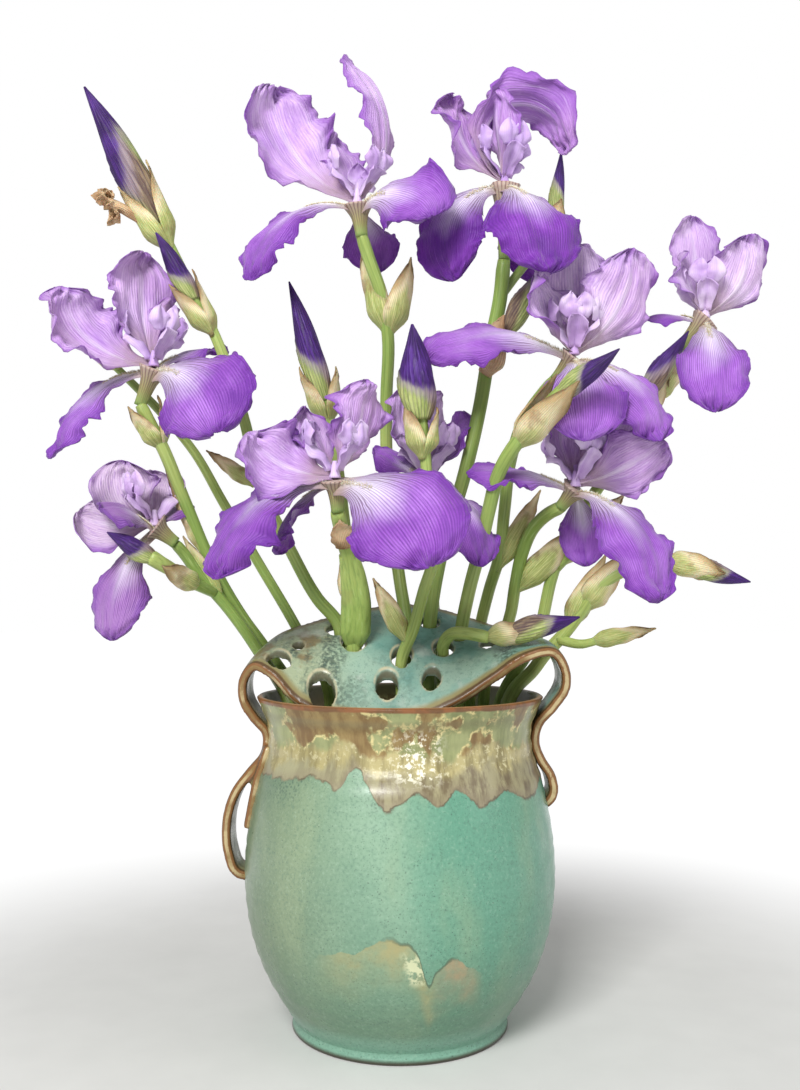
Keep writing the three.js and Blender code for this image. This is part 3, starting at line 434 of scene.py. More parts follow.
def heading(to, climb):
    compass, rise = math.radians(to), math.radians(climb)
    level = math.cos(rise)
    return vec(level * math.cos(compass), level * math.sin(compass), math.sin(rise))


def turned_about(a, axis, degrees):
    angle = math.radians(degrees)
    return a * math.cos(angle) + np.cross(axis, a) * math.sin(angle)


def blade_frame(spec, u):
    """The directions along, across and out of a blade's upper face, a share u of the way along."""
    climb = spec["rise"] + (spec.get("end", spec["rise"]) - spec["rise"]) * u
    along = heading(spec["to"], climb)
    sideways = turned_about(heading(spec["to"] + 90, 0), along, -spec.get("roll", 0))
    return along, sideways, np.cross(along, sideways)


def rib_points(root, spec, shares):
    """Points along a rib whose direction turns evenly from rise to end."""
    points = [np.array(root, dtype=float)]
    for before, after in zip(shares, shares[1:]):
        along = blade_frame(spec, (before + after) / 2)[0]
        points.append(points[-1] + along * (after - before) * spec["long"])
    return points


def through(points, per_span):
    """A smooth curve through points, which bends less where they lie far apart."""
    p = np.array(points, dtype=float)
    gaps = np.maximum(np.linalg.norm(np.diff(p, axis=0), axis=1, keepdims=True), 1e-6)
    ways = np.diff(p, axis=0) / gaps
    inner = (ways[:-1] * gaps[1:] + ways[1:] * gaps[:-1]) / (gaps[:-1] + gaps[1:])
    slopes = np.vstack([ways[:1], inner, ways[-1:]])
    rows = []
    for i, gap in enumerate(gaps):
        for t in np.arange(per_span) / per_span:
            rows.append(p[i] * (1 + 2 * t) * (1 - t) ** 2 + p[i + 1] * t * t * (3 - 2 * t)
                        + slopes[i] * gap * t * (1 - t) ** 2 - slopes[i + 1] * gap * t * t * (1 - t))
    rows.append(p[-1])
    return np.array(rows)


def named(keys, row):
    return dict(zip(keys, row))


def placed(name, data):
    """A new object of the scene."""
    item = bpy.data.objects.new(name, data)
    bpy.context.collection.objects.link(item)
    return item


def dressed(piece, node):
    """Puts a piece under the root body and hides the plain solid of the node that it stands for."""
    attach(piece, "root")
    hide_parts(node)


def tube_faces(rings, sides):
    """The faces between rings of points, with their shares of the way round and along."""
    faces, loops = [], []
    for i in range(rings - 1):
        low, high = i / (rings - 1), (i + 1) / (rings - 1)
        for k in range(sides):
            a, b = i * sides + k, i * sides + (k + 1) % sides
            near, far = k / sides, (k + 1) / sides
            faces.append((a, b, b + sides, a + sides))
            loops.append([(near, low), (far, low), (far, high), (near, high)])
    return faces, loops


class Piece:
    """The points, faces, surface coordinates and tones of one object."""

    def __init__(self):
        self.points, self.faces, self.loops, self.kinds, self.tones = [], [], [], [], []
        self.count = 0

    def add(self, points, faces, loops, kind=0, tone=0.5):
        self.points.append(points)
        self.faces += [tuple(i + self.count for i in face) for face in faces]
        self.loops += loops
        self.kinds += [kind] * len(faces)
        self.tones += [tone] * len(points)
        self.count += len(points)

    def sheet(self, grid, thick, kind=0, tone=0.5):
        """A closed sheet over a grid of points; thick is one number or one for each point."""
        rows, columns = grid.shape[:2]
        normal = unit(np.cross(np.gradient(grid, axis=0), np.gradient(grid, axis=1)))
        half = normal * (np.broadcast_to(thick, (rows, columns)) / 2)[..., None]
        points = np.concatenate([(grid + half).reshape(-1, 3), (grid - half).reshape(-1, 3)])
        faces, loops = [], []

        def face(*corners):
            faces.append(tuple((side * rows + i) * columns + j for i, j, side in corners))
            loops.append([(j / (columns - 1), i / (rows - 1)) for i, j, side in corners])

        for i in range(rows - 1):
            for j in range(columns - 1):
                face((i, j, 0), (i + 1, j, 0), (i + 1, j + 1, 0), (i, j + 1, 0))
                face((i, j, 1), (i, j + 1, 1), (i + 1, j + 1, 1), (i + 1, j, 1))
        border = [(i, 0) for i in range(rows)] + [(rows - 1, j) for j in range(1, columns)]
        border += [(i, columns - 1) for i in range(rows - 2, -1, -1)]
        border += [(0, j) for j in range(columns - 2, 0, -1)]
        for here, there in zip(border, border[1:] + border[:1]):
            face((*there, 0), (*here, 0), (*here, 1), (*there, 1))
        self.add(points, faces, loops, kind, tone)

    def rod(self, path, radius_of, sides=12, kind=0, tone=0.5, shape_of=lambda share, angle: 1):
        """A closed rod along a path. shape_of changes the radius with the share along and the angle."""
        path = np.asarray(path, dtype=float)
        along = unit(np.gradient(path, axis=0))
        side = unit(np.cross(vec(0, 1, 0), along[0]))
        points, last = [], len(path) - 1
        for i, (centre, way) in enumerate(zip(path, along)):
            side = unit(side - way * side.dot(way))
            up = np.cross(way, side)
            for k in range(sides):
                angle = 2 * math.pi * k / sides
                radius = radius_of(i / last) * shape_of(i / last, angle)
                points.append(centre + radius * (side * math.cos(angle) + up * math.sin(angle)))
        faces, loops = tube_faces(last + 1, sides)
        faces += [tuple(range(sides))[::-1], tuple(last * sides + k for k in range(sides))]
        loops += [[(k / sides, 0) for k in range(sides)][::-1], [(k / sides, 1) for k in range(sides)]]
        self.add(np.array(points), faces, loops, kind, tone)

    def mesh(self, name, scale=1):
        mesh = bpy.data.meshes.new(name)
        mesh.from_pydata((np.concatenate(self.points) * scale).tolist(), [], self.faces)
        return mesh

    def make(self, name, materials, node):
        """The finished object in metres, in place of a plain solid."""
        mesh = self.mesh(name, MM)
        layer = mesh.uv_layers.new(name="surface")
        layer.data.foreach_set("uv", [c for face in self.loops for pair in face for c in pair])
        tone = mesh.attributes.new("tone", "FLOAT", "POINT")
        tone.data.foreach_set("value", self.tones)
        for material in materials:
            mesh.materials.append(material)
        mesh.polygons.foreach_set("material_index", self.kinds)
        mesh.polygons.foreach_set("use_smooth", [True] * len(mesh.polygons))
        mesh.validate()
        dressed(placed(name, mesh), node)


# Petals and spathes

def tip_round(u, start, power=2.0):
    """The rounding of a tip: 1 up to start, then down an arc to nearly nothing."""
    share = max(0, (u - start) / (1 - start))
    return max(0.02, 1 - share ** power) ** (1 / power)


OUTLINES = {
    "standard": lambda u: (0.14 + 0.86 * smooth(u, 0.04, 0.55)) * tip_round(u, 0.6, 2.2),
    "fall": lambda u: (0.2 + 0.8 * smooth(u, 0.06, 0.6)) * tip_round(u, 0.62, 2.2),
    "style": lambda u: 0.55 + 0.45 * smooth(u, 0, 0.7),
    "crest": lambda u: (0.5 + 0.5 * smooth(u, 0, 0.4)) * tip_round(u, 0.35, 1.7),
    "dried": lambda u: 0.5 + 0.5 * u,
}


def wobble(x, y, seed):
    return noise.noise(Vector((x, y, seed)))


def petal(piece, root, spec, kind, seed, rows=PETAL_ROWS, columns=PETAL_COLUMNS, material=0, tone=0.5):
    """A petal: an arc across its rib with soft pleats and a ruffled, irregular edge. Returns its grid."""
    form = {**FORMS[kind], **spec}
    long, wide = form["long"], form["wide"]
    draw = random.Random(seed)
    start = np.array(root) + blade_frame(form, 0)[0] * ROOT_OUT
    shares = [1 - (1 - i / (rows - 1)) ** 1.35 for i in range(rows)]
    rib = rib_points(start, {**form, "long": long * 1.02}, shares)
    half = math.radians(form["wrap"]) / 2
    waves = max(2.0, long / WAVE_LONG)
    phases = [draw.uniform(0, 2 * math.pi) for side in (0, 1)]
    salt = draw.uniform(0, 100)
    grid = np.zeros((rows, columns, 3))
    thick = np.zeros((rows, columns))
    for i, (centre, u) in enumerate(zip(rib, shares)):
        along, sideways, face = blade_frame(form, u)
        half_width = wide / 2 * OUTLINES[kind](u)
        limp = min(1, wide / LIMP_WIDE, half_width / LIMP_HALF)
        grown = smooth(u, 0.08, 0.5)
        for j in range(columns):
            v = 2 * j / (columns - 1) - 1
            side = 0 if v < 0 else 1
            edge = max(v * v, smooth(u, 0.62, 1) ** 2)
            ragged = 1 + 0.08 * edge * grown * wobble(u * waves * 1.3, side * 5 + v * 0.6, salt)
            ragged += 0.045 * edge ** 2 * grown * wobble(u * long / 6, side * 5 + v, salt + 11)
            ragged += 0.03 * edge ** 3 * grown * wobble(u * long / 2.2, side * 5 + v * wide / 6, salt + 1)
            bend = half_width * ragged / half
            ripple = math.sin(2 * math.pi * waves * 0.8 * u + phases[side] + 2.2 * v)
            ripple += 0.9 * wobble(v * wide / 8, u * long / 9, salt + 7)
            frill = math.sin(2 * math.pi * waves * 2.4 * u + phases[1 - side] + 9 * v)
            frill += 1.8 * wobble(v * wide / 3, u * long / 3.2, salt + 9)
            pleat = math.sin(v * form["pleats"] * math.pi + 3 * wobble(u * 1.6, v, salt + 2))
            lift = bend * (1 - math.cos(half * v)) * form["cup"]
            lift += form["ruffle"] * limp * grown * (edge ** 1.3 * ripple + FRILL * edge ** 3 * frill)
            lift += 0.5 * limp * grown * (1 - 0.6 * edge) * pleat
            lift += 2.8 * grown * wobble(v * 1.3, u * 2.4, salt + 3)
            lift -= 1.1 * form["cup"] * math.exp(-(v / 0.1) ** 2) * (1 - u)
            lift += 0.4 * half_width * edge * edge * grown * wobble(u * 2.4, side * 3, salt + 5)
            point = centre + sideways * bend * math.sin(half * v) + face * lift
            grid[i, j] = point - along * 0.16 * half_width * v * v * u * u
            thick[i, j] = EDGE_THICK + (PETAL_THICK - EDGE_THICK) * (1 - edge) * (1 - 0.5 * u)
    piece.sheet(grid, thick, material, tone)
    return grid


def spathe(piece, spec, seed, rows=18, columns=13, material=0, tone=0.5):
    """A spathe: a sheet wrapped part of the way round the shoot that it follows, with a papery tip."""
    salt = random.Random(seed).uniform(0, 100)
    shares = [i / (rows - 1) for i in range(rows)]
    axis = rib_points(spec["root"], spec, shares)
    hug = spec.get("hug", SPATHE_HUG)
    grid = np.zeros((rows, columns, 3))
    for i, (centre, u) in enumerate(zip(axis, shares)):
        along, sideways, face = blade_frame(spec, u)
        radius = hug + (spec["wide"] / 2 - hug) * smooth(u, 0, 0.34)
        radius += 1.2 * smooth(u, 0.55, 1) * (0.4 + wobble(u * 2, 1, salt))
        turn = math.radians(spec["wrap"]) / 2 * tip_round(u, 0.25, 1.5)
        for j in range(columns):
            v = 2 * j / (columns - 1) - 1
            out = radius * (1 + 0.09 * wobble(v * 2, u * 4, salt))
            out += 0.9 * v ** 4 * wobble(u * 6, v, salt + 4)
            point = centre + sideways * out * math.sin(turn * v) - face * out * math.cos(turn * v)
            grid[i, j] = point - along * 0.12 * spec["long"] * v * v * u
    piece.sheet(grid, SPATHE_THICK, material, tone)


def bud_swell(share):
    return 0.46 + 3.1 * share - 5.6 * share ** 2 + 2.1 * share ** 3


def bud_fold(share, angle):
    """The section of rolled petals: three ridges that turn, each with a step where an edge overlaps."""
    turn = angle + BUD_TWIST * share
    step = (turn * 3 / (2 * math.pi)) % 1
    return 1 + 0.08 * math.cos(3 * turn) + 0.13 * (step - 0.5) * smooth(share, 0.15, 0.5)


def bud(piece, spec, seed):
    axis = rib_points(spec["root"], spec, [i / 39 for i in range(40)])
    piece.rod(axis, lambda s: spec["radius"] * max(bud_swell(s), 0.05), 33, 0, seed % 7 / 7, bud_fold)


def stem(piece, plant, seed):
    top = np.array(plant["stem"], dtype=float)
    foot = vec(top[0][0] * FOOT_SPREAD, top[0][1] * FOOT_SPREAD, FOOT_HEIGHT)
    below = top[0] + unit(foot - top[0]) * HOLE_DEPTH / 2

    def stalk(path, thick, sides, tone):
        """A stalk that tapers between two radii and narrows a little more where it ends."""
        def radius(s):
            return (thick[0] + (thick[1] - thick[0]) * s) * (1 - 0.14 * smooth(s, 0.96, 1))

        def ribbed(share, angle):
            return 1 + 0.025 * math.cos(5 * angle + seed) + 0.03 * wobble(share * 7, angle, seed)

        piece.rod(path, radius, sides, 0, tone, ribbed)

    stalk(through([foot, below, *top], 7), plant["thick"], 16, seed % 5 / 5)
    for points, thick in plant.get("branches", []):
        stalk(through(points, 6), thick, 14, 0.5)
    for points, half_widths in plant.get("sheaths", []):
        widths = through([[width, 0, 0] for width in half_widths], 8)[:, 0]
        piece.rod(through(points, 8), lambda s: widths[round(s * (len(widths) - 1))], 24, 0, 0.1,
                  lambda s, angle: 1 + 0.24 * math.cos(2 * angle) + 0.03 * math.cos(7 * angle))
    for number, row in enumerate(plant.get("spathes", [])):
        tone = random.Random(seed * 7 + number).random()
        spathe(piece, named(SPATHE, row), seed * 13 + number, material=1, tone=tone)


def style_arm(piece, heart, fall, seed, tone):
    """A style arm: a channel over the haft of a fall, with two upturned frilled lobes at its tip."""
    to = fall["to"]
    root = heart + vec(0, 0, CROWN_FOOT + 1) + heading(to, 0) * 1.5
    arm = named(PETAL, [to, 70, 26, 20, 14, fall["roll"] * 0.35])
    grid = petal(piece, root, arm, "style", seed, 14, 13, 1, tone)
    tip = grid[-1, 6] - heading(to, 40) * 4
    for side in (-1, 1):
        lobe = named(PETAL, [to + side * 26, 48, 118, 14, 14, side * 24])
        start = tip + heading(to + side * 90, 0) * 2.4
        petal(piece, start, lobe, "crest", seed + 3 + side, 18, 15, 1, tone)


def beard(piece, grid, seed):
    """A short strip of fine hairs up the middle of a fall."""
    draw = random.Random(seed)
    rows, columns = grid.shape[:2]
    middle = columns // 2
    points, faces, loops = [], [], []
    for number in range(BEARD_HAIRS):
        share = draw.uniform(0.03, 0.34)
        i = min(int(share * rows * 0.75), rows - 3)
        t = draw.random()
        spot = grid[i, middle] * (1 - t) + grid[i + 1, middle] * t
        along = unit(grid[i + 1, middle] - grid[i, middle])
        across = unit(grid[i, middle + 1] - grid[i, middle - 1])
        up = np.cross(along, across)
        spot = spot + across * draw.gauss(0, 0.9) + up * HAIR_RADIUS
        lean = unit(up + along * draw.uniform(0.3, 1.2) + across * draw.gauss(0, 0.4))
        tip = spot + lean * draw.uniform(1.0, 2.1) * (1.1 - 1.6 * share)
        angles = [2 * math.pi * k / 3 for k in range(3)]
        base = len(points)
        points += [spot + (along * math.cos(a) + across * math.sin(a)) * HAIR_RADIUS for a in angles] + [tip]
        faces += [(base + k, base + (k + 1) % 3, base + 3) for k in range(3)] + [(base + 2, base + 1, base)]
        loops += [[(0.5, 0), (0.5, 0), (0.5, 1)]] * 3 + [[(0.5, 0)] * 3]
    piece.add(np.array(points), faces, loops, 1)


def bloom(name, spec, seed, looks):
    """A bloom as two pieces: the lavender standards with their style arms, and the violet falls."""
    strength = STRENGTH[name]
    heart, base = vec(*spec["heart"]), vec(*spec["base"])
    falls = [named(PETAL, row) for row in spec["falls"]]
    top = Piece()
    for number, row in enumerate(spec["standards"]):
        petal(top, heart + vec(0, 0, CROWN_FOOT), named(PETAL, row), "standard", seed + number, tone=strength)
    for number, fall in enumerate(falls):
        style_arm(top, heart, fall, seed + 20 + number, strength)
    core = [heart + vec(0, 0, CROWN_FOOT - 1.6 + rise) for rise in (0, 3, 6, 9)]
    top.rod(through(core, 3), lambda s: 3.3 - 2.1 * s, 12, 1, strength)
    top.make(f"bloom_{name}_upper", looks["standards"], f"bloom_{name}_standards")
    under = Piece()
    path = through([base - unit(heart - base) * 1.5, base + (heart - base) * 0.6, heart], 6)
    under.rod(path, lambda s: TUBE_FOOT + (THROAT_RADIUS - TUBE_FOOT) * s ** 2, 18, 2, 0.5,
              lambda s, angle: 1 + 0.09 * math.cos(3 * angle) + 0.04 * math.cos(6 * angle + 1))
    for number, fall in enumerate(falls):
        root = heart - vec(0, 0, HAFT_DROP)
        grid = petal(under, root, fall, "fall", seed + 10 + number, tone=strength)
        beard(under, grid, seed + 30 + number)
    under.make(f"bloom_{name}_lower", looks["falls"], f"bloom_{name}_falls")


def dried_flower(centre, materials):
    """A shrivelled flower at the end of a dry, twisted stalk."""
    piece = Piece()
    heart = vec(*centre)
    stalk = [heart + step for step in DRIED_STALK]
    piece.rod(through(stalk, 6), lambda s: 2.5 + 0.9 * s * s, 15, shape_of=lambda s, angle: (
        1 + 0.14 * math.cos(3 * angle + 9 * s) + 0.1 * wobble(s * 6, angle, 4)))
    for k in range(9):
        lobe = named(PETAL, [90 + k * 41, 80 - k * 19, 190 - k * 43, 8.5, 9, 40 * k])
        petal(piece, heart - vec(2.5, 0, -0.5), lobe, "dried", 900 + k, 18, 17)
    piece.make("dried_flower_lobes", materials, "dried_flower")


# Vase

def vase_body(material):
    """A thrown body turned about the vertical axis, with faint throwing rings."""
    inside = through(BODY_INSIDE, 7)[::-1]
    profile = [*FOOT_RING, *through(BODY_OUTSIDE, 8), *LIP, *inside]
    angles = [2 * math.pi * k / BODY_SIDES for k in range(BODY_SIDES)]
    points = np.array([[r * math.cos(a), r * math.sin(a), z] for r, z in profile for a in angles])
    for point in points:
        x, y, z = point
        radius = math.hypot(x, y)
        if radius > 30 and 4 < z < 176:
            rings = 0.22 * math.sin(z * 0.75) + 0.9 * wobble(math.atan2(y, x) * 0.8, z / 60, 3)
            point[:2] *= 1 + rings / radius * smooth(z, 4, 20)
    faces, loops = tube_faces(len(profile), BODY_SIDES)
    under, bottom = len(points), len(points) + 1
    last = len(points) - BODY_SIDES
    for k in range(BODY_SIDES):
        n = (k + 1) % BODY_SIDES
        faces += [(under, n, k), (bottom, last + k, last + n)]
        loops += [[(0, 0)] * 3, [(0, 1)] * 3]
    ends = [[0, 0, FOOT_RING[0][1]], [0, 0, BODY_INSIDE[0][1]]]
    piece = Piece()
    piece.add(np.vstack([points, ends]), faces, loops)
    piece.make("vase_body", [material], "vase")


def strap_grid(stations, columns, per_span):
    """The grid of points of a strip of clay, and its front and back edges."""
    front = through([station[0] for station in stations], per_span)
    back = through([station[1] for station in stations], per_span)
    bulge = through([[station[2], 0, 0] for station in stations], per_span)[:, 0]
    along = unit(np.gradient((front + back) / 2, axis=0))
    normal = unit(np.cross(along, unit(back - front)))
    share = np.linspace(0, 1, columns)[None, :, None]
    arch = bulge[:, None, None] * 4 * share * (1 - share)
    return front[:, None] * (1 - share) + back[:, None] * share + normal[:, None] * arch, front, back


def hole_line(middle):
    """The direction of a hole: from the stem's foot below it up to its middle."""
    foot = vec(middle[0] * FOOT_SPREAD, middle[1] * FOOT_SPREAD, FOOT_HEIGHT)
    return unit(middle - foot)


def pierced_clay(strips):
    """The strips of clay, bored through, joined and softened."""
    raw = Piece()
    for strip in strips:
        raw.sheet(strip, STRAP_THICK)
    clay = placed("strap_clay", raw.mesh("strap_clay"))
    cutters = []
    for middle, half_width in SLAB_HOLES:
        bore = Piece()
        way = hole_line(middle) * HOLE_DEPTH / 2
        bore.rod([middle - way, middle + way], lambda s: half_width * BORE_SHARE, 28)
        cutter = placed("bore", bore.mesh("bore"))
        cut = clay.modifiers.new("bore", "BOOLEAN")
        cut.operation, cut.solver, cut.object = "DIFFERENCE", "EXACT", cutter
        cutters.append(cutter)
    remesh = clay.modifiers.new("remesh", "REMESH")
    remesh.mode, remesh.voxel_size = "VOXEL", CLAY_GRAIN
    soften = clay.modifiers.new("soften", "SMOOTH")
    soften.factor, soften.iterations = 0.5, 6
    whole = bpy.data.meshes.new_from_object(clay.evaluated_get(bpy.context.evaluated_depsgraph_get()))
    for scrap in [clay, *cutters]:
        bpy.data.objects.remove(scrap)
    return whole


def border_distances(points, borders):
    """How far each point is from the nearest of the strap's borders, which follow one another."""
    spots = []
    for a, b in zip(borders, borders[1:]):
        if np.linalg.norm(b - a) < BORDER_BREAK:
            spots += [a + (b - a) * t / 6 for t in range(6)]
    tree = kdtree.KDTree(len(spots))
    for i, spot in enumerate(spots):
        tree.insert(Vector(spot), i)
    tree.balance()
    return [tree.find(Vector(point))[2] for point in points]


def hole_distances(points):
    """How far each point is outside the wall of the nearest hole."""
    nearest = np.full(len(points), FAR_FROM_HOLES)
    for middle, half_width in SLAB_HOLES:
        offset, line = points - middle, hole_line(middle)
        depth = offset @ line
        away = np.linalg.norm(offset - np.outer(depth, line), axis=1) - half_width * BORE_SHARE
        nearest = np.where(np.abs(depth) < HOLE_DEPTH / 2, np.minimum(nearest, away), nearest)
    return nearest


def vase_strap(material):
    """The clay strap: two ears and the pierced slab between them."""
    grid, front, back = strap_grid(STRAP_STATIONS, 18, 6)
    inner, inner_front, inner_back = strap_grid(INNER_STRAP_STATIONS, 8, 8)
    mesh = pierced_clay([grid, inner])
    points = np.zeros(len(mesh.vertices) * 3)
    mesh.vertices.foreach_get("co", points)
    points = points.reshape(-1, 3)
    borders = np.vstack([front, back, grid[0], grid[-1], inner_front, inner_back])
    for label, values in (("border", border_distances(points, borders)), ("hole", hole_distances(points))):
        mesh.attributes.new(label, "FLOAT", "POINT").data.foreach_set("value", values)
    mesh.vertices.foreach_set("co", (points * MM).reshape(-1))
    mesh.materials.append(material)
    mesh.polygons.foreach_set("use_smooth", [True] * len(mesh.polygons))
    mesh.update()
    dressed(placed("vase_strap", mesh), "vase")


# Materials

def colour(code):
    """The linear colour of an sRGB hex code."""
    channels = [int(code[i:i + 2], 16) / 255 for i in (1, 3, 5)]
    return tuple(c / 12.92 if c <= 0.04045 else ((c + 0.055) / 1.055) ** 2.4 for c in channels) + (1,)


class Value:
    """A number that a material works out at each point, which takes the usual signs of arithmetic."""

    def __init__(self, graph, socket):
        self.graph, self.socket = graph, socket

    def __add__(self, other):
        return self.graph.math("ADD", self, other)

    def __sub__(self, other):
        return self.graph.math("SUBTRACT", self, other)

    def __mul__(self, other):
        return self.graph.math("MULTIPLY", self, other)

    def __abs__(self):
        return self.graph.math("ABSOLUTE", self)

    def step(self, low, high, out_low=0.0, out_high=1.0):
        """A smooth step from out_low, where the number is low, to out_high, where it is high."""
        node = self.graph.new("ShaderNodeMapRange", self, low, high, out_low, out_high)
        node.interpolation_type = "SMOOTHSTEP"
        return Value(self.graph, node.outputs[0])


class Graph:
    """A material's node tree. Its base colour is laid down first and then painted over in layers."""

    def __init__(self, name, **constants):
        self.material = bpy.data.materials.new(name)
        self.material.use_nodes = True
        self.tree = self.material.node_tree
        self.shader = self.tree.nodes["Principled BSDF"]
        for key, value in constants.items():
            self.shader.inputs[key.replace("_", " ")].default_value = value
        place = self.new("ShaderNodeTexCoord")
        self.place = place.outputs["Object"]
        self.u, self.v, _ = self.split(place.outputs["UV"])
        self.xyz = self.split(self.place)
        self.base = None

    def new(self, kind, *inputs):
        node = self.tree.nodes.new(kind)
        for socket, value in zip(node.inputs, inputs):
            self.put(socket, value)
        return node

    def put(self, socket, value):
        if isinstance(value, str):
            value = colour(value)
        elif isinstance(value, Value):
            value = value.socket
        if isinstance(value, bpy.types.NodeSocket):
            self.tree.links.new(value, socket)
        else:
            socket.default_value = value

    def split(self, vector):
        return [Value(self, part) for part in self.new("ShaderNodeSeparateXYZ", vector).outputs]

    def math(self, kind, *inputs):
        node = self.new("ShaderNodeMath", *inputs)
        node.operation = kind
        return Value(self, node.outputs[0])

    def attribute(self, name):
        node = self.new("ShaderNodeAttribute")
        node.attribute_name = name
        return Value(self, node.outputs["Fac"])

    @property
    def tone(self):
        return self.attribute("tone")

    def stretch(self, x, y, z):
        node = self.new("ShaderNodeMapping", self.place)
        node.inputs["Scale"].default_value = (x, y, z)
        return node.outputs[0]

    def noise(self, scale, vector=None, detail=3.0, rough=0.55):
        node = self.new("ShaderNodeTexNoise", vector or self.place)
        node.inputs["Scale"].default_value = scale
        node.inputs["Detail"].default_value = detail
        node.inputs["Roughness"].default_value = rough
        return Value(self, node.outputs["Fac"])

    def fibre(self, across, along, apart=9, rough=0.6):
        """Noise drawn out along a piece, which differs from one piece to the next."""
        grain = self.new("ShaderNodeCombineXYZ", self.u * across, self.v * along, self.tone * apart)
        return self.noise(1, grain.outputs[0], 5, rough)

    def cells(self, scale):
        node = self.new("ShaderNodeTexVoronoi", self.place)
        node.inputs["Scale"].default_value = scale
        return Value(self, node.outputs["Distance"])

    def mix(self, under, over, share):
        node = self.new("ShaderNodeMix")
        node.data_type = "RGBA"
        for number, value in ((0, share), (6, under), (7, over)):
            self.put(node.inputs[number], value)
        return node.outputs[2]

    def paint(self, over, share):
        self.base = self.mix(self.base, over, share)

    def graded(self, value, stops):
        """A colour ramp through stops, each its place from 0 to 1 and its colour."""
        node = self.new("ShaderNodeValToRGB", value)
        while len(node.color_ramp.elements) < len(stops):
            node.color_ramp.elements.new(0.5)
        for element, (at, shade) in zip(node.color_ramp.elements, stops):
            element.position, element.color = at, shade
        return node

    def ramp(self, value, *stops):
        return self.graded(value, [(at, colour(code)) for at, code in stops]).outputs[0]

    def curve(self, value, points, low, rise):
        """A smooth curve through points in millimetres, given as metres between low and low + rise."""
        first, last = points[0][0], points[-1][0]
        levels = [(height * MM - low) / rise for _, height in points]
        stops = [((at - first) / (last - first), (n, n, n, 1)) for (at, _), n in zip(points, levels)]
        node = self.graded((value - first) * (1 / (last - first)), stops)
        node.color_ramp.interpolation = "CARDINAL"
        return Value(self, node.outputs[0]) * rise + low

    def lines(self, coordinate, count, drift, sharp=1.0):
        """Fine lines of constant coordinate, from 0 between them to 1 on them."""
        wave = self.math("SINE", coordinate * (count * 2 * math.pi) + drift)
        return self.math("POWER", wave * 0.5 + 0.5, sharp)

    def finish(self, height, strength=0.3, distance=0.0006, rough=None):
        """The material, with its base colour and a bumpy surface."""
        self.put(self.shader.inputs["Base Color"], self.base)
        if rough:
            self.put(self.shader.inputs["Roughness"], rough)
        bump = self.new("ShaderNodeBump")
        bump.inputs["Strength"].default_value = strength
        bump.inputs["Distance"].default_value = distance
        self.put(bump.inputs["Height"], height)
        self.put(self.shader.inputs["Normal"], bump.outputs[0])
        return self.material


PETAL_LOOK = {
    "Subsurface_Weight": 0.1, "Subsurface_Scale": 0.002, "Subsurface_Radius": (1.0, 0.75, 1.0),
    "Sheen_Weight": 0.2, "Sheen_Roughness": 0.4, "Specular_IOR_Level": 0.3,
}


def standard_material():
    g = Graph("lavender_petal", Roughness=0.55, **PETAL_LOOK)
    across = abs(g.u * 2 - 1)
    drift = g.noise(55) * 5
    veins = g.lines(g.u, 30, drift, 3)
    crepe = g.fibre(50, 7)
    mottle = g.noise(26, detail=5)
    pale = g.ramp(mottle, (0.3, "#bf9dd2"), (0.5, "#d5b9e0"), (0.68, "#e8d7ee"))
    strong = g.ramp(mottle, (0.3, "#8a54ae"), (0.5, "#ac78c8"), (0.68, "#c89cde"))
    faded = g.tone.step(0.14, 0.05)
    g.base = g.mix(g.mix(pale, strong, g.tone), "#cdb6d0", faded)
    g.paint("#c99fce", g.noise(17).step(0.45, 0.7) * 0.45)
    g.paint("#9064b8", crepe.step(0.5, 0.7) * 0.5)
    g.paint("#efe2fb", crepe.step(0.5, 0.3) * 0.3)
    edge = g.math("MAXIMUM", across.step(0.6, 1.0), g.v.step(0.8, 1.0))
    g.paint("#8b52b0", edge * g.noise(30).step(0.36, 0.6, 0.3, 0.9))
    g.paint("#7c4fa4", veins * 0.24)
    g.paint("#6f3a9c", across.step(0.93, 1.0) * 0.4)
    rib = across.step(0.14, 0.0) * g.v.step(0.85, 0.3)
    g.paint("#efe4f6", rib * 0.5)
    claw = g.v.step(0.36, 0.06) * g.noise(160).step(0.3, 0.6, 0.55, 1)
    g.paint("#b7a0a0", claw * 0.7)
    netted = g.lines(g.u, 30, g.noise(120) * 6, 5) * g.v.step(0.28, 0.08)
    g.paint("#75535f", netted * 0.6)
    height = crepe * 1.6 + (veins * 0.3 + g.noise(260) * 0.5)
    return g.finish(height, 0.6, 0.0009)


def style_material():
    g = Graph("style_arm", Roughness=0.5, **PETAL_LOOK)
    across = abs(g.u * 2 - 1)
    g.base = g.mix("#e0cde8", "#bf9fd0", g.noise(60).step(0.35, 0.65))
    g.paint("#b493cb", across.step(0.35, 0.0) * 0.45)
    g.paint("#a27ccb", g.tone * 0.4)
    g.paint("#9a78bb", g.lines(g.u, 13, g.noise(60) * 4, 3) * 0.2)
    return g.finish(g.noise(120) + g.noise(300), 0.4, 0.0006)


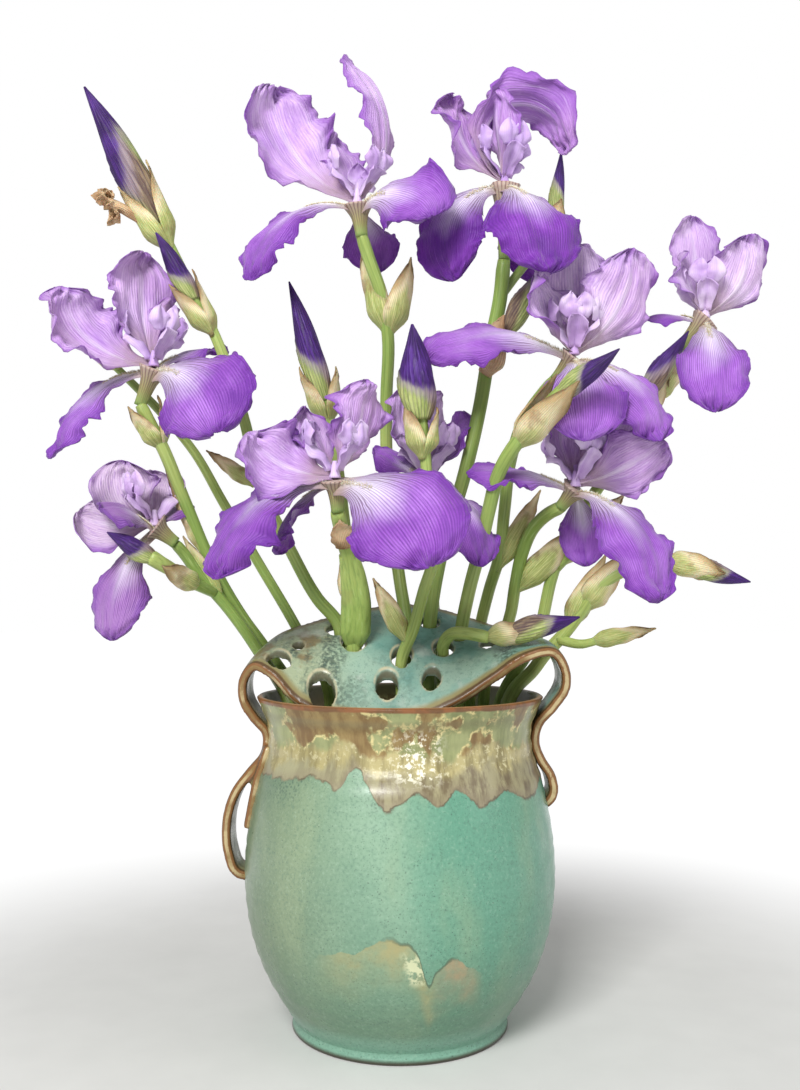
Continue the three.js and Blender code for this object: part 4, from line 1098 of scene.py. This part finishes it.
def fall_material():
    g = Graph("violet_petal", Roughness=0.5, **PETAL_LOOK)
    across = abs(g.u * 2 - 1)
    drift = g.noise(48) * 4
    mottle = g.noise(34, detail=5)
    crepe = g.fibre(64, 4, apart=7)
    deep = g.ramp(mottle, (0.3, "#541c80"), (0.5, "#762da2"), (0.7, "#954cc2"))
    light = g.ramp(mottle, (0.3, "#8a4fb2"), (0.5, "#ab6cd0"), (0.7, "#c596e2"))
    faded = g.tone.step(0.14, 0.05)
    g.base = g.mix(g.mix(light, deep, g.tone), "#a67cb4", faded * 0.8)
    g.paint("#541a80", crepe.step(0.48, 0.7) * 0.5)
    g.paint("#b474d6", crepe.step(0.46, 0.28) * 0.3)
    edge = g.math("MAXIMUM", across.step(0.55, 1.0), g.v.step(0.74, 1.0))
    g.paint("#642294", edge * 0.66)
    streak = g.lines(g.u, 38, drift, 1.5)
    g.paint("#541a80", streak * 0.5)
    reach = g.v + (across * 0.3 + (g.noise(30) - 0.5) * 0.3)
    blaze = reach.step(0.64, 0.16)
    rays = streak * -0.55 + 1.0
    white = blaze * g.math("MAXIMUM", rays, reach.step(0.3, 0.16))
    g.paint("#f1ebf6", white)
    netted = g.lines(g.u, 18, g.noise(90) * 6 + g.v * 20, 3)
    haft = g.v.step(0.5, 0.2) * across.step(0.16, 0.4)
    g.paint("#552c4e", netted * haft * 0.9)
    g.paint("#b09476", g.v.step(0.16, 0.0) * 0.75)
    height = crepe * 1.4 + (streak * 0.4 + g.noise(240) * 0.4)
    return g.finish(height, 0.55, 0.0009)


def beard_material():
    g = Graph("beard", Roughness=0.7, Subsurface_Weight=0.2, Subsurface_Scale=0.002)
    g.base = g.mix("#d5c193", "#f2ebdc", (g.v + g.noise(90) * 0.8).step(0.5, 1.4))
    return g.finish(g.noise(600), 0.2)


def tube_material():
    g = Graph("flower_tube", Roughness=0.6, Subsurface_Weight=0.1, Subsurface_Scale=0.002)
    g.base = g.ramp(g.v, (0.0, "#829c52"), (0.35, "#948f5a"), (1.0, "#b39d92"))
    veins = g.lines(g.u, 22, g.noise(110) * 7, 3)
    netted = veins * g.v.step(0.05, 0.5)
    g.paint("#6a4a4c", netted * 0.75)
    return g.finish(veins, 0.3)


def stem_material():
    g = Graph("stem", Roughness=0.42, Specular_IOR_Level=0.4, Subsurface_Weight=0.08, Subsurface_Scale=0.002)
    grain = g.fibre(24, 7, rough=0.55)
    g.base = g.mix("#96ad5a", "#769142", g.tone)
    g.paint("#b0ba6c", g.noise(12).step(0.4, 0.65) * 0.6)
    g.paint("#4a672b", grain.step(0.46, 0.7) * 0.42)
    g.paint("#b0c582", grain.step(0.44, 0.3) * 0.45)
    g.paint("#8c8b52", g.noise(50).step(0.6, 0.72) * 0.4)
    return g.finish(grain + g.noise(220), 0.2, 0.0004)


def spathe_material():
    """A sheathing bract: green below, drying to papery tan at its borders and tip."""
    g = Graph("spathe", Roughness=0.6, Subsurface_Weight=0.2, Subsurface_Scale=0.002)
    across = abs(g.u * 2 - 1)
    fibre = g.fibre(30, 5)
    veins = g.lines(g.u, 20, g.noise(40) * 3, 2)
    g.base = g.mix("#94a250", "#ccd08a", fibre.step(0.35, 0.65))
    g.paint("#c5be84", g.tone * 0.4)
    dry = g.v * 1.1 + across * 0.4 + (g.tone * 0.35 + g.noise(38, detail=5) * 0.7)
    g.paint("#e4d5ac", dry.step(1.05, 1.35))
    g.paint("#b49565", dry.step(1.3, 1.62) * 0.85)
    g.paint("#6d4f33", dry.step(1.6, 1.85) * 0.8)
    g.paint("#8c6a4a", g.noise(70, detail=5).step(0.54, 0.68) * 0.6)
    g.paint("#6c6f3c", veins * 0.36)
    return g.finish(fibre * 1.6 + g.noise(90), 0.6, 0.0008)


def bud_material():
    """Rolled petals: dark violet above a slanted border, veined green and brown below it."""
    g = Graph("bud", Roughness=0.5, Specular_IOR_Level=0.3, Subsurface_Weight=0.06, Subsurface_Scale=0.002)
    turn = g.u * (2 * math.pi) + g.v * BUD_TWIST
    fibre = g.fibre(34, 6)
    veins = g.lines(g.u, 26, g.v * BUD_TWIST + g.noise(60) * 3, 3)
    purple = g.ramp(fibre * 0.6 + g.noise(40) * 0.4, (0.36, "#220c3e"), (0.5, "#39185e"), (0.66, "#57318a"))
    green = g.mix("#84954c", "#b1b976", fibre.step(0.35, 0.65))
    brown = g.mix("#5e4a42", "#8a775c", fibre.step(0.4, 0.6))
    low = g.mix(green, brown, (g.math("SINE", turn + g.tone * 4) + g.noise(25) * 0.6).step(0.5, 1.1))
    low = g.mix(low, "#4c3c4c", veins * 0.4)
    slant = g.math("SINE", turn + g.tone * 6.3) * 0.2
    place = g.v + slant + (fibre - 0.5) * 0.16
    g.base = g.mix(low, purple, place.step(0.42, 0.5))
    g.paint("#8f7f92", place.step(0.3, 0.42) * place.step(0.54, 0.44, 0.0, 0.55))
    return g.finish(fibre * 1.4 + veins, 0.45, 0.0006)


def dry_material():
    g = Graph("dry_bract", Roughness=0.8, Subsurface_Weight=0.15, Subsurface_Scale=0.002)
    veins = g.lines(g.u, 18, g.noise(60) * 4, 2)
    g.base = g.ramp(g.noise(70, detail=5), (0.3, "#8d6a45"), (0.5, "#c0a07a"), (0.7, "#dcc6a0"))
    g.paint("#7c5a38", veins * 0.35)
    return g.finish(veins + g.noise(180), 0.5, 0.0006)


def speckle(g, amount):
    """Iron speckles: fine dark dots with a soft edge, gathered in places."""
    dots = g.math("MAXIMUM", g.cells(380).step(0.15, 0.07), g.cells(760).step(0.24, 0.08) * 0.8)
    gathered = g.noise(60, detail=4).step(0.36, 0.58, 0.25, 1.0)
    g.paint("#3d5148", dots * gathered * amount)


def band_height(g, x, y):
    """How far a point is above the ragged lower edge of the glaze band."""
    front = g.math("ARCTAN2", x, abs(y))
    edge = g.curve(front * (180 / math.pi), BAND_EDGE, BAND_LOW, BAND_RISE)
    edge = edge + (g.noise(120, detail=5) - 0.5) * 0.009
    back = abs(g.math("SINE", front * 5)) * y.step(0.0, 0.03, 0.0, -0.009)
    return g.xyz[2] - (edge + back)


def band_colour(g, height, x, y, z):
    """Ochre and olive glaze: brown pools under the rim, pale runs below them, taupe at the edge."""
    blur = g.noise(70, g.stretch(1, 1, 0.5), 5) - 0.5
    runs = g.noise(150, g.stretch(1, 1, 0.16), 5, 0.65)
    pools = g.noise(52, g.stretch(1, 1, 0.8), 3)
    flecks = g.noise(330, detail=4, rough=0.7)
    top = g.mix("#7b8154", "#959a6a", runs.step(0.35, 0.65))
    pools = pools + abs(x + 0.027).step(0.034, 0.012) * z.step(0.158, 0.17, 0.0, 0.17)
    top = g.mix(top, g.mix("#6f4e28", "#8f7546", runs.step(0.35, 0.65)), pools.step(0.53, 0.58) * 0.88)
    fringe = pools.step(0.49, 0.53) * pools.step(0.58, 0.54)
    top = g.mix(top, "#cdbf86", fringe * flecks.step(0.46, 0.56))
    pale = g.mix("#827850", "#b3a877", runs.step(0.38, 0.6))
    pale = g.mix(pale, "#d2cba2", flecks.step(0.54, 0.62) * 0.7)
    pale = g.mix(pale, "#8f8657", x.step(0.0, -0.05) * 0.4)
    taupe = g.mix("#6c5f46", "#97906e", runs.step(0.38, 0.6))
    taupe = g.mix(taupe, "#a3a280", x.step(0.0, -0.06) * 0.6)
    base = g.mix(pale, top, (z + blur * 0.03).step(0.1545, 0.1585))
    base = g.mix(base, taupe, (z + blur * 0.04).step(0.1505, 0.1435))
    side = x - 0.009
    frost = abs(side).step(0.016, 0.004) * y.step(0.0, -0.03)
    frost = frost * (z.step(0.138, 0.146) * z.step(0.17, 0.158))
    base = g.mix(base, "#ebe7d2", frost * flecks.step(0.5, 0.58))
    base = g.mix(base, "#8a7f68", height.step(0.006, 0.0) * 0.5)
    return g.mix(base, "#5a4f3c", height.step(0.0014, 0.0003) * g.noise(90).step(0.35, 0.6, 0.25, 1))


def body_material():
    g = Graph("celadon_body", Roughness=0.3, Coat_Weight=0.12, Coat_Roughness=0.12)
    x, y, z = g.xyz
    cloud = g.noise(16, detail=4)
    grain = g.noise(620, detail=3, rough=0.7)
    g.base = g.mix("#71967e", "#86a68c", cloud.step(0.35, 0.65))
    g.paint("#60957d", (x + cloud * 0.04).step(0.012, 0.05))
    # Olive glaze on the left, also painted darker there as painted shade
    g.paint("#6e8064", x.step(-0.005, -0.07) * 0.9)
    g.paint("#9aa884", g.noise(26, g.stretch(1, 1, 0.4), 4).step(0.5, 0.72) * 0.35)
    # Painted shade: the lower belly darkens towards the foot
    g.paint("#5d7c61", z.step(0.065, 0.02) * 0.6)
    g.paint("#7faf9b", z.step(0.019, 0.008) * 0.6)
    g.paint("#4f7062", grain.step(0.5, 0.68) * 0.4)
    g.paint("#a5bfa9", grain.step(0.46, 0.3) * 0.25)
    speckle(g, 0.85)
    wander = (g.noise(110, detail=5) - 0.5) * 0.007
    edge = g.curve(x * 1000, PATCH_EDGE, PATCH_LOW, PATCH_RISE) + wander
    sunk = edge - z
    front = y.step(0.0, -0.03)
    inside = sunk.step(-0.0004, 0.0006) * sunk.step(0.03, 0.004)
    inside = inside * front * (x.step(-0.046, -0.016) * x.step(0.042, 0.03))
    patch = g.mix("#a49c6c", "#b0906c", x.step(0.014, 0.02))
    g.paint(patch, inside * g.noise(48, detail=5).step(0.34, 0.6, 0.3, 0.95))
    beside = abs(x - (z * -0.3 + 0.0245))
    crystals = beside.step(0.0075, 0.003) * g.noise(210, detail=5, rough=0.7).step(0.44, 0.54)
    crystals = crystals * front * (z.step(0.045, 0.049) * z.step(0.066, 0.058))
    g.paint("#ccd0a8", crystals * sunk.step(0.0, 0.0012))
    seam = abs(sunk).step(0.0014, 0.0005) * (front * x.step(-0.014, 0.004))
    g.paint("#4f604a", seam * x.step(0.03, 0.024) * 0.75)
    height = band_height(g, x, y)
    below = height.step(-0.018, -0.001) * (g.noise(24) + x.step(0.0, -0.05, 0, 0.1)).step(0.48, 0.6)
    g.paint("#3d5548", below * g.cells(620).step(0.5, 0.2) * 0.8)
    g.paint("#5d7862", below * 0.3)
    g.paint(band_colour(g, height, x, y, z), height.step(-0.0006, 0.0006))
    lip = z + (g.noise(60) - 0.5) * 0.003
    g.paint(g.mix("#83522c", "#6a4828", g.noise(90).step(0.4, 0.6)), lip.step(0.1757, 0.1768))
    g.paint("#b08a5e", z.step(0.1784, 0.1789) * 0.5)
    g.paint("#3d3a2c", z.step(0.0035, 0.001))
    radius = g.math("SQRT", x * x + y * y)
    g.paint("#6f6a4e", radius.step(0.0768, 0.0755) * z.step(0.165, 0.1765))
    bump = g.noise(60) + (height.step(-0.001, 0.001) * 0.5 + grain * 0.3)
    rough = g.noise(80).step(0.3, 0.7, 0.26, 0.42)
    return g.finish(bump, 0.3, 0.0008, rough)


def strap_material():
    g = Graph("celadon_strap", Roughness=0.36, Specular_IOR_Level=0.38)
    x, y, z = g.xyz
    border, hole = g.attribute("border"), g.attribute("hole")
    grain = g.noise(330, detail=4, rough=0.7)
    cloud = g.noise(30, detail=5)
    g.base = g.ramp(cloud, (0.36, "#56857a"), (0.48, "#739c8e"), (0.62, "#92ae9b"))
    g.paint("#a2aa88", (x + cloud * 0.04).step(0.008, -0.03) * 0.85)
    stain = g.noise(50, detail=5).step(0.5, 0.6) * x.step(-0.03, -0.05)
    g.paint("#7b6440", stain * 0.8)
    g.paint("#c3cabd", g.noise(44, detail=5).step(0.55, 0.68) * 0.5)
    dark = g.noise(42, g.stretch(1, 0.45, 0.45), 5).step(0.5, 0.6) * g.noise(500).step(0.35, 0.6)
    sides = abs(x - 0.004).step(0.018, 0.05, 0.25, 0.9)
    g.paint("#3a4a42", dark * sides)
    g.paint("#4f6f68", grain.step(0.5, 0.68) * 0.35)
    speckle(g, 0.7)
    ear = z.step(0.178, 0.162)
    streaks = g.noise(70, g.stretch(1, 1, 0.4), 5)
    g.paint(g.ramp(streaks, (0.36, "#564a2c"), (0.48, "#7a8257"), (0.62, "#8ea27c")), ear * 0.9)
    halo = hole.step(1.7, 0.6) * hole.step(0.0, 0.4)
    g.paint("#bdb695", halo * g.noise(90).step(0.35, 0.6))
    g.paint("#64624c", hole.step(0.3, -0.2))
    ragged = border + (g.noise(130, detail=4) - 0.5) * 1.4
    g.paint("#8d8459", ragged.step(8.5, 4.8))
    g.paint("#5a452c", ragged.step(4.6, 3.4))
    g.paint("#7d5734", ragged.step(2.6, 2.0))
    clay = g.mix("#b8a67c", "#846a40", g.noise(55, detail=4).step(0.42, 0.58))
    g.paint(clay, ragged.step(1.2, 0.7))
    rough = g.noise(80).step(0.3, 0.7, 0.24, 0.42)
    return g.finish(g.noise(70) + grain * 0.3, 0.3, 0.0008, rough)


def water_material():
    g = Graph("water", Roughness=0.04, IOR=1.33, Transmission_Weight=0.9)
    g.base = g.mix("#e6efe6", "#d3e2d6", g.noise(20).step(0.3, 0.7))
    return g.finish(g.noise(40), 0.05)


# Assembly

vase_body(body_material())
vase_strap(strap_material())
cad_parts["water"].data.materials.clear()
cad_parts["water"].data.materials.append(water_material())

looks = {
    "standards": [standard_material(), style_material()],
    "falls": [fall_material(), beard_material(), tube_material()],
}
greens, rolled, dry = [stem_material(), spathe_material()], [bud_material()], [dry_material()]

for number, plant in enumerate(PLANTS):
    name = plant["name"]
    shoot = Piece()
    stem(shoot, plant, number + 1)
    shoot.make(f"shoot_{name}", greens, f"stem_{name}")
    for row in plant.get("buds", []):
        spec = named(BUD, row)
        piece = Piece()
        bud(piece, spec, number * 5 + len(spec["name"]))
        piece.make(f"rolled_bud_{spec['name']}", rolled, f"bud_{spec['name']}")
    if "dried_flower" in plant:
        dried_flower(plant["dried_flower"], dry)
    for row in plant.get("dry_bracts", []):
        piece = Piece()
        spathe(piece, named(SPATHE, row), 70 + number)
        piece.make(f"papery_bract_{name}", dry, f"dry_bract_{name}")
    if "bloom" in plant:
        bloom(name, plant["bloom"], number * 101, looks)

# Floor, light and camera

def floor():
    """A floor that is pale round the vase and brightens away from it to meet the white surroundings."""
    mesh = bpy.data.meshes.new("floor")
    corners = [(-FLOOR_HALF, -FLOOR_HALF, 0), (FLOOR_HALF, -FLOOR_HALF, 0),
               (FLOOR_HALF, FLOOR_HALF, 0), (-FLOOR_HALF, FLOOR_HALF, 0)]
    mesh.from_pydata(corners, [], [(0, 1, 2, 3)])
    g = Graph("floor", Roughness=0.8, Emission_Color=(1, 1, 1, 1))
    x, y, _ = g.xyz
    fade = g.math("SQRT", x * x + y * y).step(*FLOOR_FADE)
    g.put(g.shader.inputs["Emission Strength"], fade)
    g.base = g.mix(g.mix("#d9d9d6", "#cfcfcc", g.noise(30)), "#000000", fade)
    mesh.materials.append(g.finish(g.noise(90), 0.05))
    return placed("floor", mesh)


def surroundings():
    """White surroundings, which light the scene more softly than they look."""
    world = bpy.data.worlds.new("studio")
    world.use_nodes = True
    nodes, links = world.node_tree.nodes, world.node_tree.links
    soft, white = nodes["Background"], nodes.new("ShaderNodeBackground")
    for background, strength in ((soft, SOFT_LIGHT), (white, 1)):
        background.inputs["Color"].default_value = (1, 1, 1, 1)
        background.inputs["Strength"].default_value = strength
    seen = nodes.new("ShaderNodeLightPath")
    either = nodes.new("ShaderNodeMixShader")
    links.new(seen.outputs["Is Camera Ray"], either.inputs[0])
    links.new(soft.outputs[0], either.inputs[1])
    links.new(white.outputs[0], either.inputs[2])
    links.new(either.outputs[0], nodes["World Output"].inputs["Surface"])
    return world


def area_light(name, place, size, power):
    lamp = bpy.data.lights.new(name, "AREA")
    lamp.shape, lamp.size, lamp.size_y, lamp.energy = "RECTANGLE", size[0], size[1], power
    holder = placed(name, lamp)
    holder.location = place
    holder.rotation_mode = "QUATERNION"
    holder.rotation_quaternion = (Vector(LIT_POINT) - Vector(place)).to_track_quat("-Z", "Y")


floor()
bpy.context.scene.world = surroundings()
bpy.context.scene.view_settings.view_transform = "Standard"
area_light("key", (-0.5, -1.5, 1.35), (0.7, 0.7), 41)
area_light("fill", (1.4, -0.6, 0.9), (0.8, 1.2), 5)

camera = bpy.data.cameras.new("camera")
camera.sensor_width = 36
camera.lens = FOCAL_PIXELS / PHOTO_HEIGHT * camera.sensor_width
camera.clip_start = 0.05
viewer = placed("camera", camera)
viewer.location = (0, -CAMERA_AWAY, CAMERA_HIGH)
viewer.rotation_euler = (math.radians(90 + CAMERA_PITCH), 0, 0)
bpy.context.scene.camera = viewer
